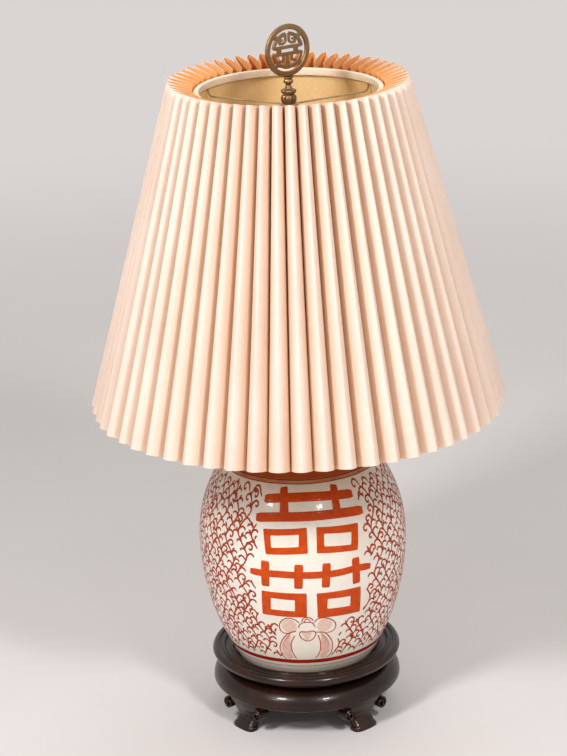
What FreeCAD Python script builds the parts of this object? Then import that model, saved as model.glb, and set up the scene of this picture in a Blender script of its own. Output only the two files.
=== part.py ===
import FreeCAD, Part
import math
import os
import re

import Sketcher

# A table lamp with a painted ginger jar for its body, millimetres.
# The origin is on the surface that the feet stand on, on the lamp's upright axis.
# +Z is up and -Y is the side with the painted character.

vector = FreeCAD.Vector

# ---------------------------------------------------------------------------
# Driving dimensions: every one is a cell of the spreadsheet
# ---------------------------------------------------------------------------

SIZES = {
    # fits shared by several pieces
    "thread_fit": 0.05,
    "turning_fit": 0.08,
    "seat_gap": 0.3,
    "paper_gap": 0.1,
    # wooden stand: feet
    "foot_height": 32.0,
    "foot_sweep": 15.0,
    "foot_turn": 40.7,
    "foot_wall": 15.0,
    "foot_bend_ratio": 1.1,
    "ankle_inset": 8.0,
    "ankle_height": 11.0,
    "ankle_wall": 10.0,
    "toe_inset": 0.5,
    "toe_height": 3.5,
    "toe_wall": 13.0,
    "bracket_half_width": 26.0,
    "bracket_height": 14.0,
    "bracket_depth": 9.0,
    "bracket_bite": 0.5,
    "bracket_end_height": 2.5,
    "curl_radius": 5.5,
    "curl_eye": 1.8,
    "curl_offset": 16.5,
    "curl_drop": 11.0,
    "curl_depth": 13.0,
    "curl_back": 1.0,
    # wooden stand: apron, waist and top board
    "apron_radius": 94.6,
    "apron_height": 20.0,
    "apron_lip": 3.1,
    "apron_top_radius": 80.0,
    "apron_wall": 20.0,
    "waist_radius": 78.0,
    "waist_height": 6.0,
    "waist_wall": 12.0,
    "board_radius": 94.9,
    "board_height": 11.0,
    "board_edge": 6.5,
    "board_under_radius": 87.0,
    "board_bend_ratio": 1.25,
    "rim_round": 3.2,
    "rim_bend": 5.5,
    "rim_width": 3.4,
    "groove_depth": 1.8,
    "groove_width": 2.8,
    "bead_width": 2.6,
    "bead_drop": 1.0,
    "dish_depth": 3.6,
    "dish_flat": 1.5,
    "collar_radius": 73.5,
    "collar_width": 3.4,
    "collar_drop": 2.0,
    "seat_depth": 8.0,
    # ceramic jar
    "jar_foot_radius": 68.0,
    "jar_radius": 103.2,
    "belly_rise": 127.0,
    "shoulder_radius": 75.5,
    "shoulder_rise": 83.0,
    "neck_radius": 47.0,
    "neck_bend": 62.0,
    "neck_rise": 21.0,
    "mouth_height": 8.0,
    "jar_wall": 5.0,
    "jar_floor": 7.0,
    "jar_hole": 8.0,
    # threaded pipe and its fasteners
    "pipe_radius": 4.95,
    "pipe_bore": 3.3,
    "pipe_tail": 12.0,
    "pipe_proud": 2.0,
    "washer_radius": 15.0,
    "washer_height": 1.6,
    "nut_across": 14.3,
    "nut_height": 4.0,
    "bushing_radius": 6.4,
    "bushing_flange": 2.5,
    "bushing_spigot": 6.0,
    "bushing_round": 0.8,
    "cord_bore": 2.3,
    # cap over the jar's mouth and the neck above it
    "cap_radius": 51.0,
    "cap_height": 7.0,
    "cap_sheet": 1.2,
    "cap_hub": 12.0,
    "cap_bend_ratio": 0.98,
    "neck_tube_radius": 8.5,
    "neck_tube_height": 12.2,
    "neck_tube_flange": 11.0,
    "neck_flange_height": 2.0,
    "neck_tube_bend_ratio": 1.6,
    # harp, its saddle and its two locking sleeves
    "harp_height": 304.8,
    "harp_leg": 31.0,
    "harp_half_width": 57.0,
    "harp_straight": 52.0,
    "harp_bow_rise": 90.0,
    "harp_crown": 46.0,
    "wire_radius": 1.9,
    "saddle_sheet": 1.6,
    "saddle_width": 14.0,
    "saddle_margin": 0.8,
    "saddle_bend_ratio": 1.1,
    "saddle_shoulder": 5.0,
    "post_height": 12.0,
    "sleeve_radius": 3.6,
    "sleeve_length": 22.0,
    "sleeve_collar": 4.6,
    "sleeve_collar_height": 3.0,
    "sleeve_round": 1.0,
    "stud_radius": 3.175,
    "stud_height": 8.0,
    "stud_plate_radius": 8.0,
    "stud_plate_height": 2.5,
    # lampholder
    "holder_hub_radius": 7.5,
    "holder_hub_height": 4.0,
    "holder_cup_rise": 9.0,
    "holder_cup_height": 20.0,
    "cup_bend_ratio": 1.05,
    "holder_radius": 17.4,
    "holder_sheet": 0.6,
    "shell_height": 60.0,
    "shell_bead": 1.2,
    "shell_bead_height": 3.0,
    "shell_bead_bend_ratio": 1.6,
    "liner_sheet": 0.7,
    "liner_drop": 2.0,
    "core_height": 13.0,
    "core_flat": 11.2,
    "core_seat": 6.0,
    "screw_shell_height": 24.0,
    "contact_radius": 3.5,
    "contact_height": 1.2,
    "screw_head_radius": 3.0,
    "screw_head_height": 1.6,
    "switch_radius": 1.6,
    "switch_rise": 10.0,
    "switch_reach": 34.0,
    "switch_root": 9.0,
    "switch_hole_gap": 0.6,
    "knob_radius": 5.2,
    "knob_length": 15.0,
    "knob_seat": 6.0,
    "knob_foot_radius": 4.16,
    "knob_skirt_height": 2.0,
    "knob_top_radius": 4.42,
    "knob_face_radius": 3.38,
    "knob_round": 1.0,
    "knob_bend": 1.2,
    # bulb
    "bulb_radius": 30.0,
    "bulb_length": 105.0,
    "bulb_glass": 0.8,
    "bulb_cap_radius": 13.1,
    "bulb_cap_height": 20.0,
    "bulb_cap_sheet": 0.5,
    "bulb_cap_round": 1.0,
    "bulb_cap_bend": 1.2,
    "bulb_cap_foot": 1.4,
    "bulb_foot_height": 4.5,
    "bulb_foot_edge": 1.0,
    "bulb_foot_inset": 1.5,
    "bulb_tip_radius": 4.2,
    "bulb_tip_height": 1.0,
    "bulb_tip_edge": 0.8,
    "bulb_tip_bend": 1.3,
    "bulb_glass_bite": 2.0,
    "bulb_neck_straight": 2.5,
    "bulb_neck_rise": 12.0,
    "bulb_neck_radius": 14.5,
    "bulb_bend": 34.0,
    "bulb_ball_turn": 33.0,
    "stem_radius": 4.0,
    "stem_height": 40.0,
    "stem_tip_radius": 2.4,
    # pleated shade over a hard liner
    "pleat_count": 56,
    "shade_height": 321.6,
    "shade_rise": 25.0,
    "pleat_top_radius": 118.2,
    "pleat_bottom_radius": 203.2,
    "pleat_sheet": 0.5,
    "liner_height": 310.6,
    "liner_top_radius": 89.5,
    "liner_bottom_radius": 177.0,
    "liner_wall": 0.6,
    "fold_clearance": 1.2,
    "ring_wire": 1.4,
    "ring_drop": 0.6,
    "tape_sheet": 0.4,
    "tape_height": 6.5,
    # spider that carries the shade on the harp
    "hub_radius": 9.0,
    "hub_height": 1.9,
    "hub_play": 0.1,
    "arm_wire": 0.9,
    "arm_bend": 5.0,
    "arm_root": 1.5,
    "arm_gap": 0.02,
    "arm_seat_ratio": 0.7,
    "arm_count": 3,
    "arm_turn": -90.0,
    # finial
    "finial_turn": 34.0,
    "finial_base_radius": 7.4,
    "finial_base_height": 9.4,
    "finial_foot_radius": 5.2,
    "base_swell_ratio": 0.45,
    "collar_petals": 8,
    "petal_radius": 2.0,
    "petal_level": 1.98,
    "petal_height": 2.97,
    "collar_foot_radius": 4.42,
    "collar_bend": 5.28,
    "finial_collar_radius": 7.2,
    "finial_collar_height": 6.6,
    "finial_waist_radius": 2.6,
    "finial_waist_height": 4.4,
    "finial_waist_flare": 0.8,
    "finial_waist_rise": 2.64,
    "finial_waist_bend": 8.8,
    "finial_bead_bend": 2.728,
    "finial_bead_flare": 0.6,
    "finial_bead_height": 5.4,
    "medal_radius": 25.1,
    "medal_ring": 4.4,
    "medal_sheet": 3.0,
    "medal_relief": 0.4,
    "medal_slot": 2.6,
    "medal_inner_ring": 3.2,
    "medal_stroke": 2.7,
    "medal_bridges": 4,
    "medal_bite": 0.6,
    "medal_joint": 0.3,
    "hook_gap": 2.16,
    "hook_width": 1.89,
    "hook_reach": 8.32,
    "medal_bars": 1.3,
    "medal_slot_half": 7.5,
    "medal_notch_reach": 11.5,
}

# Places that follow from the driving dimensions, as formulas in the cells' names.
DERIVED = {
    # levels above the surface, from the feet upwards
    "apron_level": "foot_height",
    "waist_level": "apron_level + apron_height",
    "board_level": "waist_level + waist_height",
    "rim_level": "board_level + board_height",
    "jar_level": "rim_level - seat_depth",
    "belly_level": "jar_level + belly_rise",
    "shoulder_level": "belly_level + shoulder_rise",
    "mouth_level": "shoulder_level + neck_rise + mouth_height",
    "neck_tube_level": "mouth_level + cap_height",
    "saddle_level": "neck_tube_level + neck_tube_height",
    "holder_level": "saddle_level + saddle_sheet",
    "core_level": "holder_level + holder_cup_height - liner_sheet - core_seat",
    "contact_level": "core_level + core_height",
    "bulb_level": "contact_level + contact_height + turning_fit",
    "crown_level": "saddle_level + harp_height",
    "hub_level": "crown_level + turning_fit",
    "finial_level": "hub_level + hub_height + turning_fit",
    "medal_level": "finial_level + finial_base_height + finial_collar_height"
                   " + finial_waist_height + finial_bead_height + medal_radius",
    "nut_level": "board_level - washer_height - nut_height",
    "pipe_level": "nut_level - pipe_tail",
    "pipe_top": "holder_level + holder_hub_height + pipe_proud",
    # radii of the board's turned steps, from the rim inwards
    "rim_outer": "board_radius - rim_round",
    "rim_inner": "rim_outer - rim_width",
    "groove_inner": "rim_inner - groove_width",
    "bead_inner": "groove_inner - bead_width",
    "collar_outer": "collar_radius + collar_width",
    # jar: radii of the two big arcs, which meet upright at the belly
    "lower_bend": "((jar_radius - jar_foot_radius)^2 + belly_rise^2) / (2 * (jar_radius - jar_foot_radius))",
    "upper_bend": "((jar_radius - shoulder_radius)^2 + shoulder_rise^2)"
                  " / (2 * (jar_radius - shoulder_radius))",
    "floor_drop": "belly_rise - jar_floor",
    # lampholder: radii that nest inside each other
    "shell_radius": "holder_radius - holder_sheet - turning_fit",
    "shell_bore": "shell_radius - holder_sheet",
    "liner_radius": "shell_bore - turning_fit",
    "liner_bore": "liner_radius - liner_sheet",
    "core_radius": "liner_bore - turning_fit",
    "screw_shell_bore": "bulb_cap_radius + seat_gap",
    "switch_level": "core_level + switch_rise",
    # harp
    "harp_bow": "(harp_bow_rise^2 + (harp_half_width - harp_leg)^2) / (4 * (harp_half_width - harp_leg))",
    "harp_mid": "(harp_leg + harp_half_width) / 2",
    "leg_start": "saddle_sheet + post_height + seat_gap",
    "wire_top": "harp_height - stud_plate_height - wire_radius",
    # shade
    "shade_level": "finial_level + shade_rise - shade_height",
    "liner_slope": "(liner_bottom_radius - liner_top_radius) / liner_height",
    "liner_run": "liner_wall * sqrt(1 + liner_slope^2)",
    "valley_bottom_radius": "liner_bottom_radius + fold_clearance",
    "valley_top_radius": "liner_top_radius + fold_clearance - (shade_height - liner_height) * liner_slope",
    "ring_depth": "ring_wire + ring_drop",
    "top_ring_radius": "liner_top_radius + ring_depth * liner_slope - liner_run"
                       " - ring_wire * sqrt(1 + liner_slope^2) - paper_gap",
    "bottom_ring_radius": "liner_bottom_radius - ring_depth * liner_slope - liner_run"
                          " - ring_wire * sqrt(1 + liner_slope^2) - paper_gap",
    "tape_inset": "liner_run + 2 * ring_wire * sqrt(1 + liner_slope^2) + 2 * paper_gap",
    "arm_reach": "top_ring_radius + ring_wire * arm_seat_ratio",
    "arm_level": "hub_level + hub_height / 2",
    "ring_level": "shade_level + liner_height - ring_depth",
    # finial medallion
    "medal_opening": "medal_radius - medal_ring",
    "inner_ring_outer": "medal_opening - medal_slot",
    "inner_ring_inner": "inner_ring_outer - medal_inner_ring",
}

document = FreeCAD.newDocument("ginger_jar_lamp")
sheet = document.addObject("Spreadsheet::Sheet", "Sizes")
for row, (alias, value) in enumerate(SIZES.items(), start=1):
    sheet.set(f"A{row}", alias.replace("_", " "))
    sheet.set(f"B{row}", str(value))
    sheet.setAlias(f"B{row}", alias)
document.recompute()


def bound(formula):
    """Return a formula with derived names written out and cell names pointing at the sheet."""
    def expand(match):
        word = match.group()
        if word in DERIVED:
            return f"({bound(DERIVED[word])})"
        if word in SIZES:
            return f"Sizes.{word}"
        return word
    return re.sub(r"[a-z_]+", expand, str(formula))


def measure(formula):
    """Work out a formula's present value from the sheet."""
    return float(sheet.evalExpression(bound(formula)))


def bind(thing, **properties):
    """Tie properties of a document object to formulas; double underscores stand for dots."""
    for name, formula in properties.items():
        thing.setExpression(name.replace("__", "."), bound(formula))


# ---------------------------------------------------------------------------
# Sketches and bodies
# ---------------------------------------------------------------------------

def new_body(label, level="0"):
    """Start a body with its own label, raised to a level on the lamp's axis."""
    body = document.addObject("PartDesign::Body", label)
    body.Label = label
    bind(body, Placement__Base__z=level)
    return body


def new_sketch(body, name, role="XZ_Plane", offset="0"):
    """Attach a sketch to one of the body's own origin planes, moved along its normal."""
    sketch = body.newObject("Sketcher::SketchObject", name)
    plane = next(item for item in body.Origin.OriginFeatures if item.Role == role)
    sketch.AttachmentSupport = [(plane, "")]
    sketch.MapMode = "FlatFace"
    if offset != "0":
        bind(sketch, AttachmentOffset__Base__z=offset)
    return sketch


def fix(sketch, kind, *places, formula):
    """Add a dimension to a sketch and tie it to a formula."""
    number = sketch.addConstraint(Sketcher.Constraint(kind, *places, measure(formula)))
    sketch.setExpression(f"Constraints[{number}]", bound(formula))


def arc_between(start, end, radius, side):
    """Make the short arc between two points; side +1 bulges to the right of the way there."""
    chord = end.sub(start)
    middle = start.add(end).multiply(0.5)
    right = vector(chord.y, -chord.x, 0).normalize()
    reach = math.sqrt(radius ** 2 - (chord.Length / 2) ** 2)
    centre = middle.sub(vector(right).multiply(side * reach))
    angles = [math.atan2(point.y - centre.y, point.x - centre.x) for point in (start, end)]
    if side < 0:
        angles.reverse()
    if angles[1] < angles[0]:
        angles[1] += 2 * math.pi
    return Part.ArcOfCircle(Part.Circle(centre, vector(0, 0, 1), radius), *angles)


def draw(sketch, outline, closed=True):
    """Draw a chain of lines and arcs through points given as formulas.

    Each point is (x, y) for a line that arrives there, or (x, y, radius, side) for an arc.
    In a closed chain the first point's arc arrives from the last point.
    """
    points = [vector(measure(entry[0]), measure(entry[1]), 0) for entry in outline]
    count = len(outline)
    first = 0 if closed else 1
    ends = []
    for index in range(first, count):
        entry = outline[index]
        start, end = points[index - 1], points[index]
        if len(entry) == 2:
            edge = sketch.addGeometry(Part.LineSegment(start, end), False)
            ends.append((edge, 1, 2))
            continue
        radius, side = entry[2], entry[3]
        edge = sketch.addGeometry(arc_between(start, end, measure(radius), side), False)
        ends.append((edge, 1, 2) if side > 0 else (edge, 2, 1))
    for number, (edge, _, tail) in enumerate(ends):
        if closed or number + 1 < len(ends):
            following = ends[(number + 1) % len(ends)]
            sketch.addConstraint(Sketcher.Constraint("Coincident", edge, tail, following[0], following[1]))
    for number, (edge, head, tail) in enumerate(ends):
        entry = outline[first + number]
        fix(sketch, "DistanceX", -1, 1, edge, tail, formula=entry[0])
        fix(sketch, "DistanceY", -1, 1, edge, tail, formula=entry[1])
        if len(entry) == 4:
            fix(sketch, "Radius", edge, formula=entry[2])
    if not closed:
        edge, head, _ = ends[0]
        fix(sketch, "DistanceX", -1, 1, edge, head, formula=outline[0][0])
        fix(sketch, "DistanceY", -1, 1, edge, head, formula=outline[0][1])
    return sketch


def sorted_pair(one, other):
    """Put two formulas in order of their present values."""
    return (one, other) if measure(one) < measure(other) else (other, one)


def draw_circle(sketch, radius, centre_x="0", centre_y="0"):
    """Draw a circle whose radius and centre are formulas."""
    centre = vector(measure(centre_x), measure(centre_y), 0)
    edge = sketch.addGeometry(Part.Circle(centre, vector(0, 0, 1), measure(radius)), False)
    fix(sketch, "Radius", edge, formula=radius)
    fix(sketch, "DistanceX", -1, 1, edge, 3, formula=centre_x)
    fix(sketch, "DistanceY", -1, 1, edge, 3, formula=centre_y)


def draw_box(sketch, left, right, low, high):
    """Draw a rectangle from formulas for its sides."""
    draw(sketch, [(left, low), (right, low), (right, high), (left, high)])


def pad(body, sketch, length, both_ways=False, reverse=False, name="Pad"):
    """Pad a sketch by a formula's length."""
    feature = body.newObject("PartDesign::Pad", name)
    feature.Profile = sketch
    feature.Midplane = both_ways
    feature.Reversed = reverse
    bind(feature, Length=length)
    return feature


def pocket_through(body, sketch, name, both_ways=True):
    """Cut a sketch through the body, both ways from its plane or towards -Y only."""
    document.recompute()
    before = body.Shape.Volume
    feature = body.newObject("PartDesign::Pocket", name)
    feature.Profile = sketch
    feature.Type = "ThroughAll"
    feature.Midplane = both_ways
    feature.Reversed = not both_ways
    document.recompute()
    if not body.Shape.Volume < before:
        raise ValueError(f"{body.Label}: {name} cuts nothing")


def repeat(body, feature, sketch, count, name="Pattern"):
    """Repeat a feature evenly about a sketch's normal axis."""
    pattern = body.newObject("PartDesign::PolarPattern", name)
    pattern.Originals = [feature]
    pattern.Axis = (sketch, ["N_Axis"])
    pattern.Angle = 360
    bind(pattern, Occurrences=count)
    body.Tip = pattern
    return pattern


def revolve(body, sketch, angle=360.0, name="Turning"):
    """Turn a profile about its sketch's upright axis."""
    feature = body.newObject("PartDesign::Revolution", name)
    feature.Profile = sketch
    feature.ReferenceAxis = (sketch, ["V_Axis"])
    feature.Angle = angle
    return feature


def turned(label, level, outline):
    """Make a turned piece: a closed outline of (radius, height) revolved about the axis."""
    body = new_body(label, level)
    sketch = draw(new_sketch(body, label + "_outline"), outline)
    revolve(body, sketch)
    return body


def tube(label, level, outer, inner, length):
    """Make a plain tube from formulas."""
    return turned(label, level, [(inner, "0"), (outer, "0"), (outer, length), (inner, length)])


def hoop(label, level, radius, wire):
    """Make a closed wire ring lying level."""
    ring = document.addObject("Part::Torus", label)
    ring.Label = label
    bind(ring, Radius1=radius, Radius2=wire, Placement__Base__z=level)
    return ring


pieces = []


# ---------------------------------------------------------------------------
# Wooden stand
# ---------------------------------------------------------------------------

def make_foot(number):
    """One scroll foot: a curved leg, a bracket under the apron and two side curls."""
    label = f"stand_foot_{number}"
    body = new_body(label)
    body.Placement = FreeCAD.Placement(vector(), FreeCAD.Rotation(vector(0, 0, 1), 1))
    bind(body, Placement__Rotation__Angle=f"foot_turn + {number - 1} * 90")
    top = "apron_radius - apron_lip"
    ankle = f"{top} - ankle_inset"
    toe = f"{top} - toe_inset"
    leg = draw(new_sketch(body, label + "_leg"), [
        (f"{toe} - toe_wall", "0"),
        (toe, "0"),
        (toe, "toe_height"),
        (ankle, "ankle_height", "ankle_height", -1),
        (top, "foot_height", "foot_height * foot_bend_ratio", 1),
        (f"{top} - foot_wall", "foot_height"),
        (f"{ankle} - ankle_wall", "ankle_height", "foot_height * foot_bend_ratio", -1),
    ])
    turning = revolve(body, leg)
    turning.Midplane = True
    bind(turning, Angle="foot_sweep")
    bracket_face = f"{top} - foot_wall + bracket_bite"
    bracket = new_sketch(body, label + "_bracket", "YZ_Plane", bracket_face)
    draw(bracket, [
        ("-bracket_half_width", "foot_height"),
        ("-bracket_half_width", "foot_height - bracket_end_height"),
        ("-curl_offset", "foot_height - curl_drop"),
        ("-curl_offset / 2", "foot_height - bracket_height"),
        ("curl_offset / 2", "foot_height - bracket_height"),
        ("curl_offset", "foot_height - curl_drop"),
        ("bracket_half_width", "foot_height - bracket_end_height"),
        ("bracket_half_width", "foot_height"),
    ])
    pad(body, bracket, "bracket_depth", name="Bracket")
    curls = new_sketch(body, label + "_curls", "YZ_Plane", f"{bracket_face} - curl_back")
    for side in ("-", ""):
        draw_circle(curls, "curl_radius", f"{side}curl_offset", "foot_height - curl_drop")
        draw_circle(curls, "curl_eye", f"{side}curl_offset", "foot_height - curl_drop")
    pad(body, curls, "curl_depth", name="Curls")
    return body


def make_apron():
    """The bulging ring between the feet and the waist."""
    return turned("stand_apron", "apron_level", [
        ("apron_radius - apron_wall", "0"),
        ("apron_radius - apron_lip", "0"),
        ("apron_radius", "apron_lip", "apron_lip", 1),
        ("apron_top_radius", "apron_height",
         "((apron_radius - apron_top_radius)^2 + (apron_height - apron_lip)^2)"
         " / (2 * (apron_radius - apron_top_radius))", 1),
        ("apron_radius - apron_wall", "apron_height"),
    ])


def make_waist():
    """The recessed ring between the apron and the top board."""
    return turned("stand_waist", "waist_level", [
        ("waist_radius - waist_wall", "0"),
        ("waist_radius", "0"),
        ("waist_radius", "waist_height", "waist_height", -1),
        ("waist_radius - waist_wall", "waist_height"),
    ])


def make_board():
    """The top board, turned with a rim, a groove, a bead, a dish and a collar round the jar."""
    return turned("stand_board", "board_level", [
        ("pipe_radius + seat_gap", "0"),
        ("board_under_radius", "0"),
        ("board_radius", "board_edge", "board_edge * board_bend_ratio", 1),
        ("rim_outer", "board_height", "rim_bend", 1),
        ("rim_inner", "board_height"),
        ("rim_inner", "board_height - groove_depth"),
        ("groove_inner", "board_height - groove_depth"),
        ("groove_inner", "board_height - bead_drop"),
        ("bead_inner", "board_height - bead_drop", "bead_width", 1),
        ("collar_outer + dish_flat", "board_height - dish_depth"),
        ("collar_outer", "board_height - dish_depth"),
        ("collar_outer", "board_height - collar_drop"),
        ("collar_radius", "board_height - collar_drop", "collar_width", 1),
        ("collar_radius", "board_height - seat_depth"),
        ("pipe_radius + seat_gap", "board_height - seat_depth"),
    ])


# ---------------------------------------------------------------------------
# Ceramic jar
# ---------------------------------------------------------------------------

def make_jar():
    """The hollow jar: two big arcs that meet at the belly, a tighter one at the neck."""
    floor_radius = "jar_radius - lower_bend + sqrt((lower_bend - jar_wall)^2 - floor_drop^2)"
    inner_shoulder = "shoulder_radius - jar_wall * (upper_bend - jar_radius + shoulder_radius) / upper_bend"
    inner_shoulder_rise = "belly_rise + shoulder_rise - jar_wall * shoulder_rise / upper_bend"
    mouth = "belly_rise + shoulder_rise + neck_rise + mouth_height"
    neck_root = "belly_rise + shoulder_rise + neck_rise"
    return turned("jar_body", "jar_level", [
        ("jar_hole", "0"),
        ("jar_foot_radius", "0"),
        ("jar_radius", "belly_rise", "lower_bend", 1),
        ("shoulder_radius", "belly_rise + shoulder_rise", "upper_bend", 1),
        ("neck_radius", neck_root, "neck_bend", 1),
        ("neck_radius", mouth),
        ("neck_radius - jar_wall", mouth),
        ("neck_radius - jar_wall", f"{neck_root} - jar_wall"),
        (inner_shoulder, inner_shoulder_rise, "neck_bend - jar_wall", -1),
        ("jar_radius - jar_wall", "belly_rise", "upper_bend - jar_wall", -1),
        (floor_radius, "jar_floor", "lower_bend - jar_wall", -1),
        ("jar_hole", "jar_floor"),
    ])


# ---------------------------------------------------------------------------
# Pipe, fasteners and cap
# ---------------------------------------------------------------------------

def make_pipe():
    """The threaded pipe that clamps stand, jar, cap and lampholder together."""
    return tube("threaded_pipe", "pipe_level", "pipe_radius", "pipe_bore", "pipe_top - pipe_level")


def make_washer():
    """The steel washer under the top board."""
    return tube("base_washer", "board_level - washer_height", "washer_radius",
                "pipe_radius + turning_fit", "washer_height")


def make_nut():
    """The hexagon nut on the pipe's lower end."""
    body = new_body("base_nut", "nut_level")
    sketch = new_sketch(body, "base_nut_outline", "XY_Plane")
    corner = "nut_across / sqrt(3)"
    half = "nut_across / 2"
    draw(sketch, [
        (corner, "0"),
        (f"{corner} / 2", half),
        (f"-{corner} / 2", half),
        (f"-{corner}", "0"),
        (f"-{corner} / 2", f"-{half}"),
        (f"{corner} / 2", f"-{half}"),
    ])
    draw_circle(sketch, "pipe_radius + thread_fit")
    pad(body, sketch, "nut_height")
    return body


def make_bushing():
    """The insulating bushing where the cord enters the pipe."""
    spigot = "pipe_bore - turning_fit"
    return turned("cord_bushing", "pipe_level - bushing_flange", [
        ("cord_bore", "0"),
        ("bushing_radius - bushing_round", "0"),
        ("bushing_radius", "bushing_round", "bushing_round", 1),
        ("bushing_radius", "bushing_flange"),
        (spigot, "bushing_flange"),
        (spigot, "bushing_flange + bushing_spigot"),
        ("cord_bore", "bushing_flange + bushing_spigot"),
    ])


def make_cap():
    """The spun brass cap that closes the jar's mouth."""
    rise = "cap_height - cap_sheet"
    bend = f"((cap_radius - cap_hub)^2 + ({rise})^2) / (2 * ({rise}))"
    return turned("vase_cap", "mouth_level", [
        ("cap_radius", "0"),
        ("cap_radius", "cap_sheet"),
        ("cap_hub", "cap_height", bend, 1),
        ("pipe_radius + turning_fit", "cap_height"),
        ("pipe_radius + turning_fit", rise),
        ("cap_hub", rise),
        ("neck_radius - jar_wall", "0", f"{bend} * cap_bend_ratio", -1),
    ])


def make_neck_tube():
    """The brass neck between the cap and the saddle."""
    return turned("brass_neck", "neck_tube_level", [
        ("pipe_radius + turning_fit", "0"),
        ("neck_tube_flange", "0"),
        ("neck_tube_flange", "neck_flange_height"),
        ("neck_tube_radius", "neck_tube_height", "neck_tube_height * neck_tube_bend_ratio", -1),
        ("pipe_radius + turning_fit", "neck_tube_height"),
    ])


# ---------------------------------------------------------------------------
# Saddle, harp and sleeves
# ---------------------------------------------------------------------------

def make_saddle():
    """The flat saddle under the lampholder, with a post at each end for the harp."""
    body = new_body("harp_saddle", "saddle_level")
    strip = new_sketch(body, "saddle_strip", "XY_Plane")
    end = "sleeve_collar + saddle_margin"
    half = "saddle_width / 2"
    draw(strip, [
        ("harp_leg", f"-({end})"),
        ("harp_leg", end, f"({end}) * saddle_bend_ratio", 1),
        ("holder_hub_radius + saddle_shoulder", half),
        ("-(holder_hub_radius + saddle_shoulder)", half),
        ("-harp_leg", end),
        ("-harp_leg", f"-({end})", f"({end}) * saddle_bend_ratio", 1),
        ("-(holder_hub_radius + saddle_shoulder)", f"-({half})"),
        ("holder_hub_radius + saddle_shoulder", f"-({half})"),
    ])
    draw_circle(strip, "pipe_radius + turning_fit")
    pad(body, strip, "saddle_sheet", name="Strip")
    posts = new_sketch(body, "saddle_posts", "XY_Plane")
    for side in ("-", ""):
        draw_circle(posts, "wire_radius", f"{side}harp_leg")
    pad(body, posts, "saddle_sheet + post_height", name="Posts")
    return body


def make_harp():
    """The wire bow: straight legs, an outward double bend each side and a round crown."""
    body = new_body("harp_bow", "saddle_level")
    path = new_sketch(body, "harp_path")
    bow_start = "harp_straight"
    bow_middle = "harp_straight + harp_bow_rise / 2"
    bow_end = "harp_straight + harp_bow_rise"
    flat = "harp_half_width - harp_crown"
    draw(path, [
        ("harp_leg", "leg_start"),
        ("harp_leg", bow_start),
        ("harp_mid", bow_middle, "harp_bow", -1),
        ("harp_half_width", bow_end, "harp_bow", 1),
        ("harp_half_width", "wire_top - harp_crown"),
        (flat, "wire_top", "harp_crown", 1),
        (f"-({flat})", "wire_top"),
        ("-harp_half_width", "wire_top - harp_crown", "harp_crown", 1),
        ("-harp_half_width", bow_end),
        ("-harp_mid", bow_middle, "harp_bow", 1),
        ("-harp_leg", bow_start, "harp_bow", -1),
        ("-harp_leg", "leg_start"),
    ], closed=False)
    section = new_sketch(body, "harp_section", "XY_Plane", "leg_start")
    draw_circle(section, "wire_radius", "harp_leg")
    pipe = body.newObject("PartDesign::AdditivePipe", "Bow")
    pipe.Profile = section
    document.recompute()
    pipe.Spine = (path, [f"Edge{number + 1}" for number in range(len(path.Geometry))])
    return body


def make_stud():
    """The plate and threaded stud on top of the harp."""
    return turned("harp_stud", "crown_level - stud_plate_height", [
        ("0", "0"),
        ("stud_plate_radius", "0"),
        ("stud_plate_radius", "stud_plate_height"),
        ("stud_radius", "stud_plate_height"),
        ("stud_radius", "stud_plate_height + stud_height"),
        ("0", "stud_plate_height + stud_height"),
    ])


def make_sleeve(label, side):
    """A locking sleeve that drops over a saddle post and the harp's leg."""
    body = turned(label, "holder_level + seat_gap", [
        ("wire_radius + turning_fit", "0"),
        ("sleeve_collar", "0"),
        ("sleeve_collar", "sleeve_collar_height"),
        ("sleeve_radius", "sleeve_collar_height + sleeve_round"),
        ("sleeve_radius", "sleeve_length - sleeve_round"),
        ("sleeve_radius - sleeve_round", "sleeve_length", "sleeve_round", 1),
        ("wire_radius + turning_fit", "sleeve_length"),
    ])
    bind(body, Placement__Base__x=f"{side}harp_leg")
    return body


# ---------------------------------------------------------------------------
# Lampholder
# ---------------------------------------------------------------------------

def make_holder_cap():
    """The brass cup screwed on the pipe's top."""
    bore = "pipe_radius + turning_fit"
    bend = "(holder_radius - holder_hub_radius) * cup_bend_ratio"
    return turned("holder_cap", "holder_level", [
        (bore, "0"),
        ("holder_hub_radius", "0"),
        ("holder_hub_radius", "holder_hub_height"),
        ("holder_radius", "holder_hub_height + holder_cup_rise", bend, 1),
        ("holder_radius", "holder_cup_height"),
        ("holder_radius - holder_sheet", "holder_cup_height"),
        ("holder_radius - holder_sheet", "holder_hub_height + holder_cup_rise"),
        ("holder_hub_radius", "holder_hub_height + holder_sheet", f"{bend} - holder_sheet", -1),
        (bore, "holder_hub_height + holder_sheet"),
    ])


def make_holder_shell():
    """The brass outer shell with a rolled top edge and a hole for the switch stem."""
    base = "core_level"
    height = "holder_level + shell_height - core_level"
    body = turned("holder_shell", base, [
        ("shell_bore", "0"),
        ("shell_radius", "0"),
        ("shell_radius", f"{height} - shell_bead_height"),
        ("shell_radius + shell_bead", f"{height} - shell_bead_height / 2", "shell_bead * shell_bead_bend_ratio", -1),
        ("shell_radius", height, "shell_bead * shell_bead_bend_ratio", 1),
        ("shell_bore", height),
    ])
    hole = new_sketch(body, "shell_hole", "XZ_Plane")
    draw_circle(hole, "switch_radius + switch_hole_gap", "0", "switch_rise")
    pocket_through(body, hole, "StemHole", both_ways=False)
    return body


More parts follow.
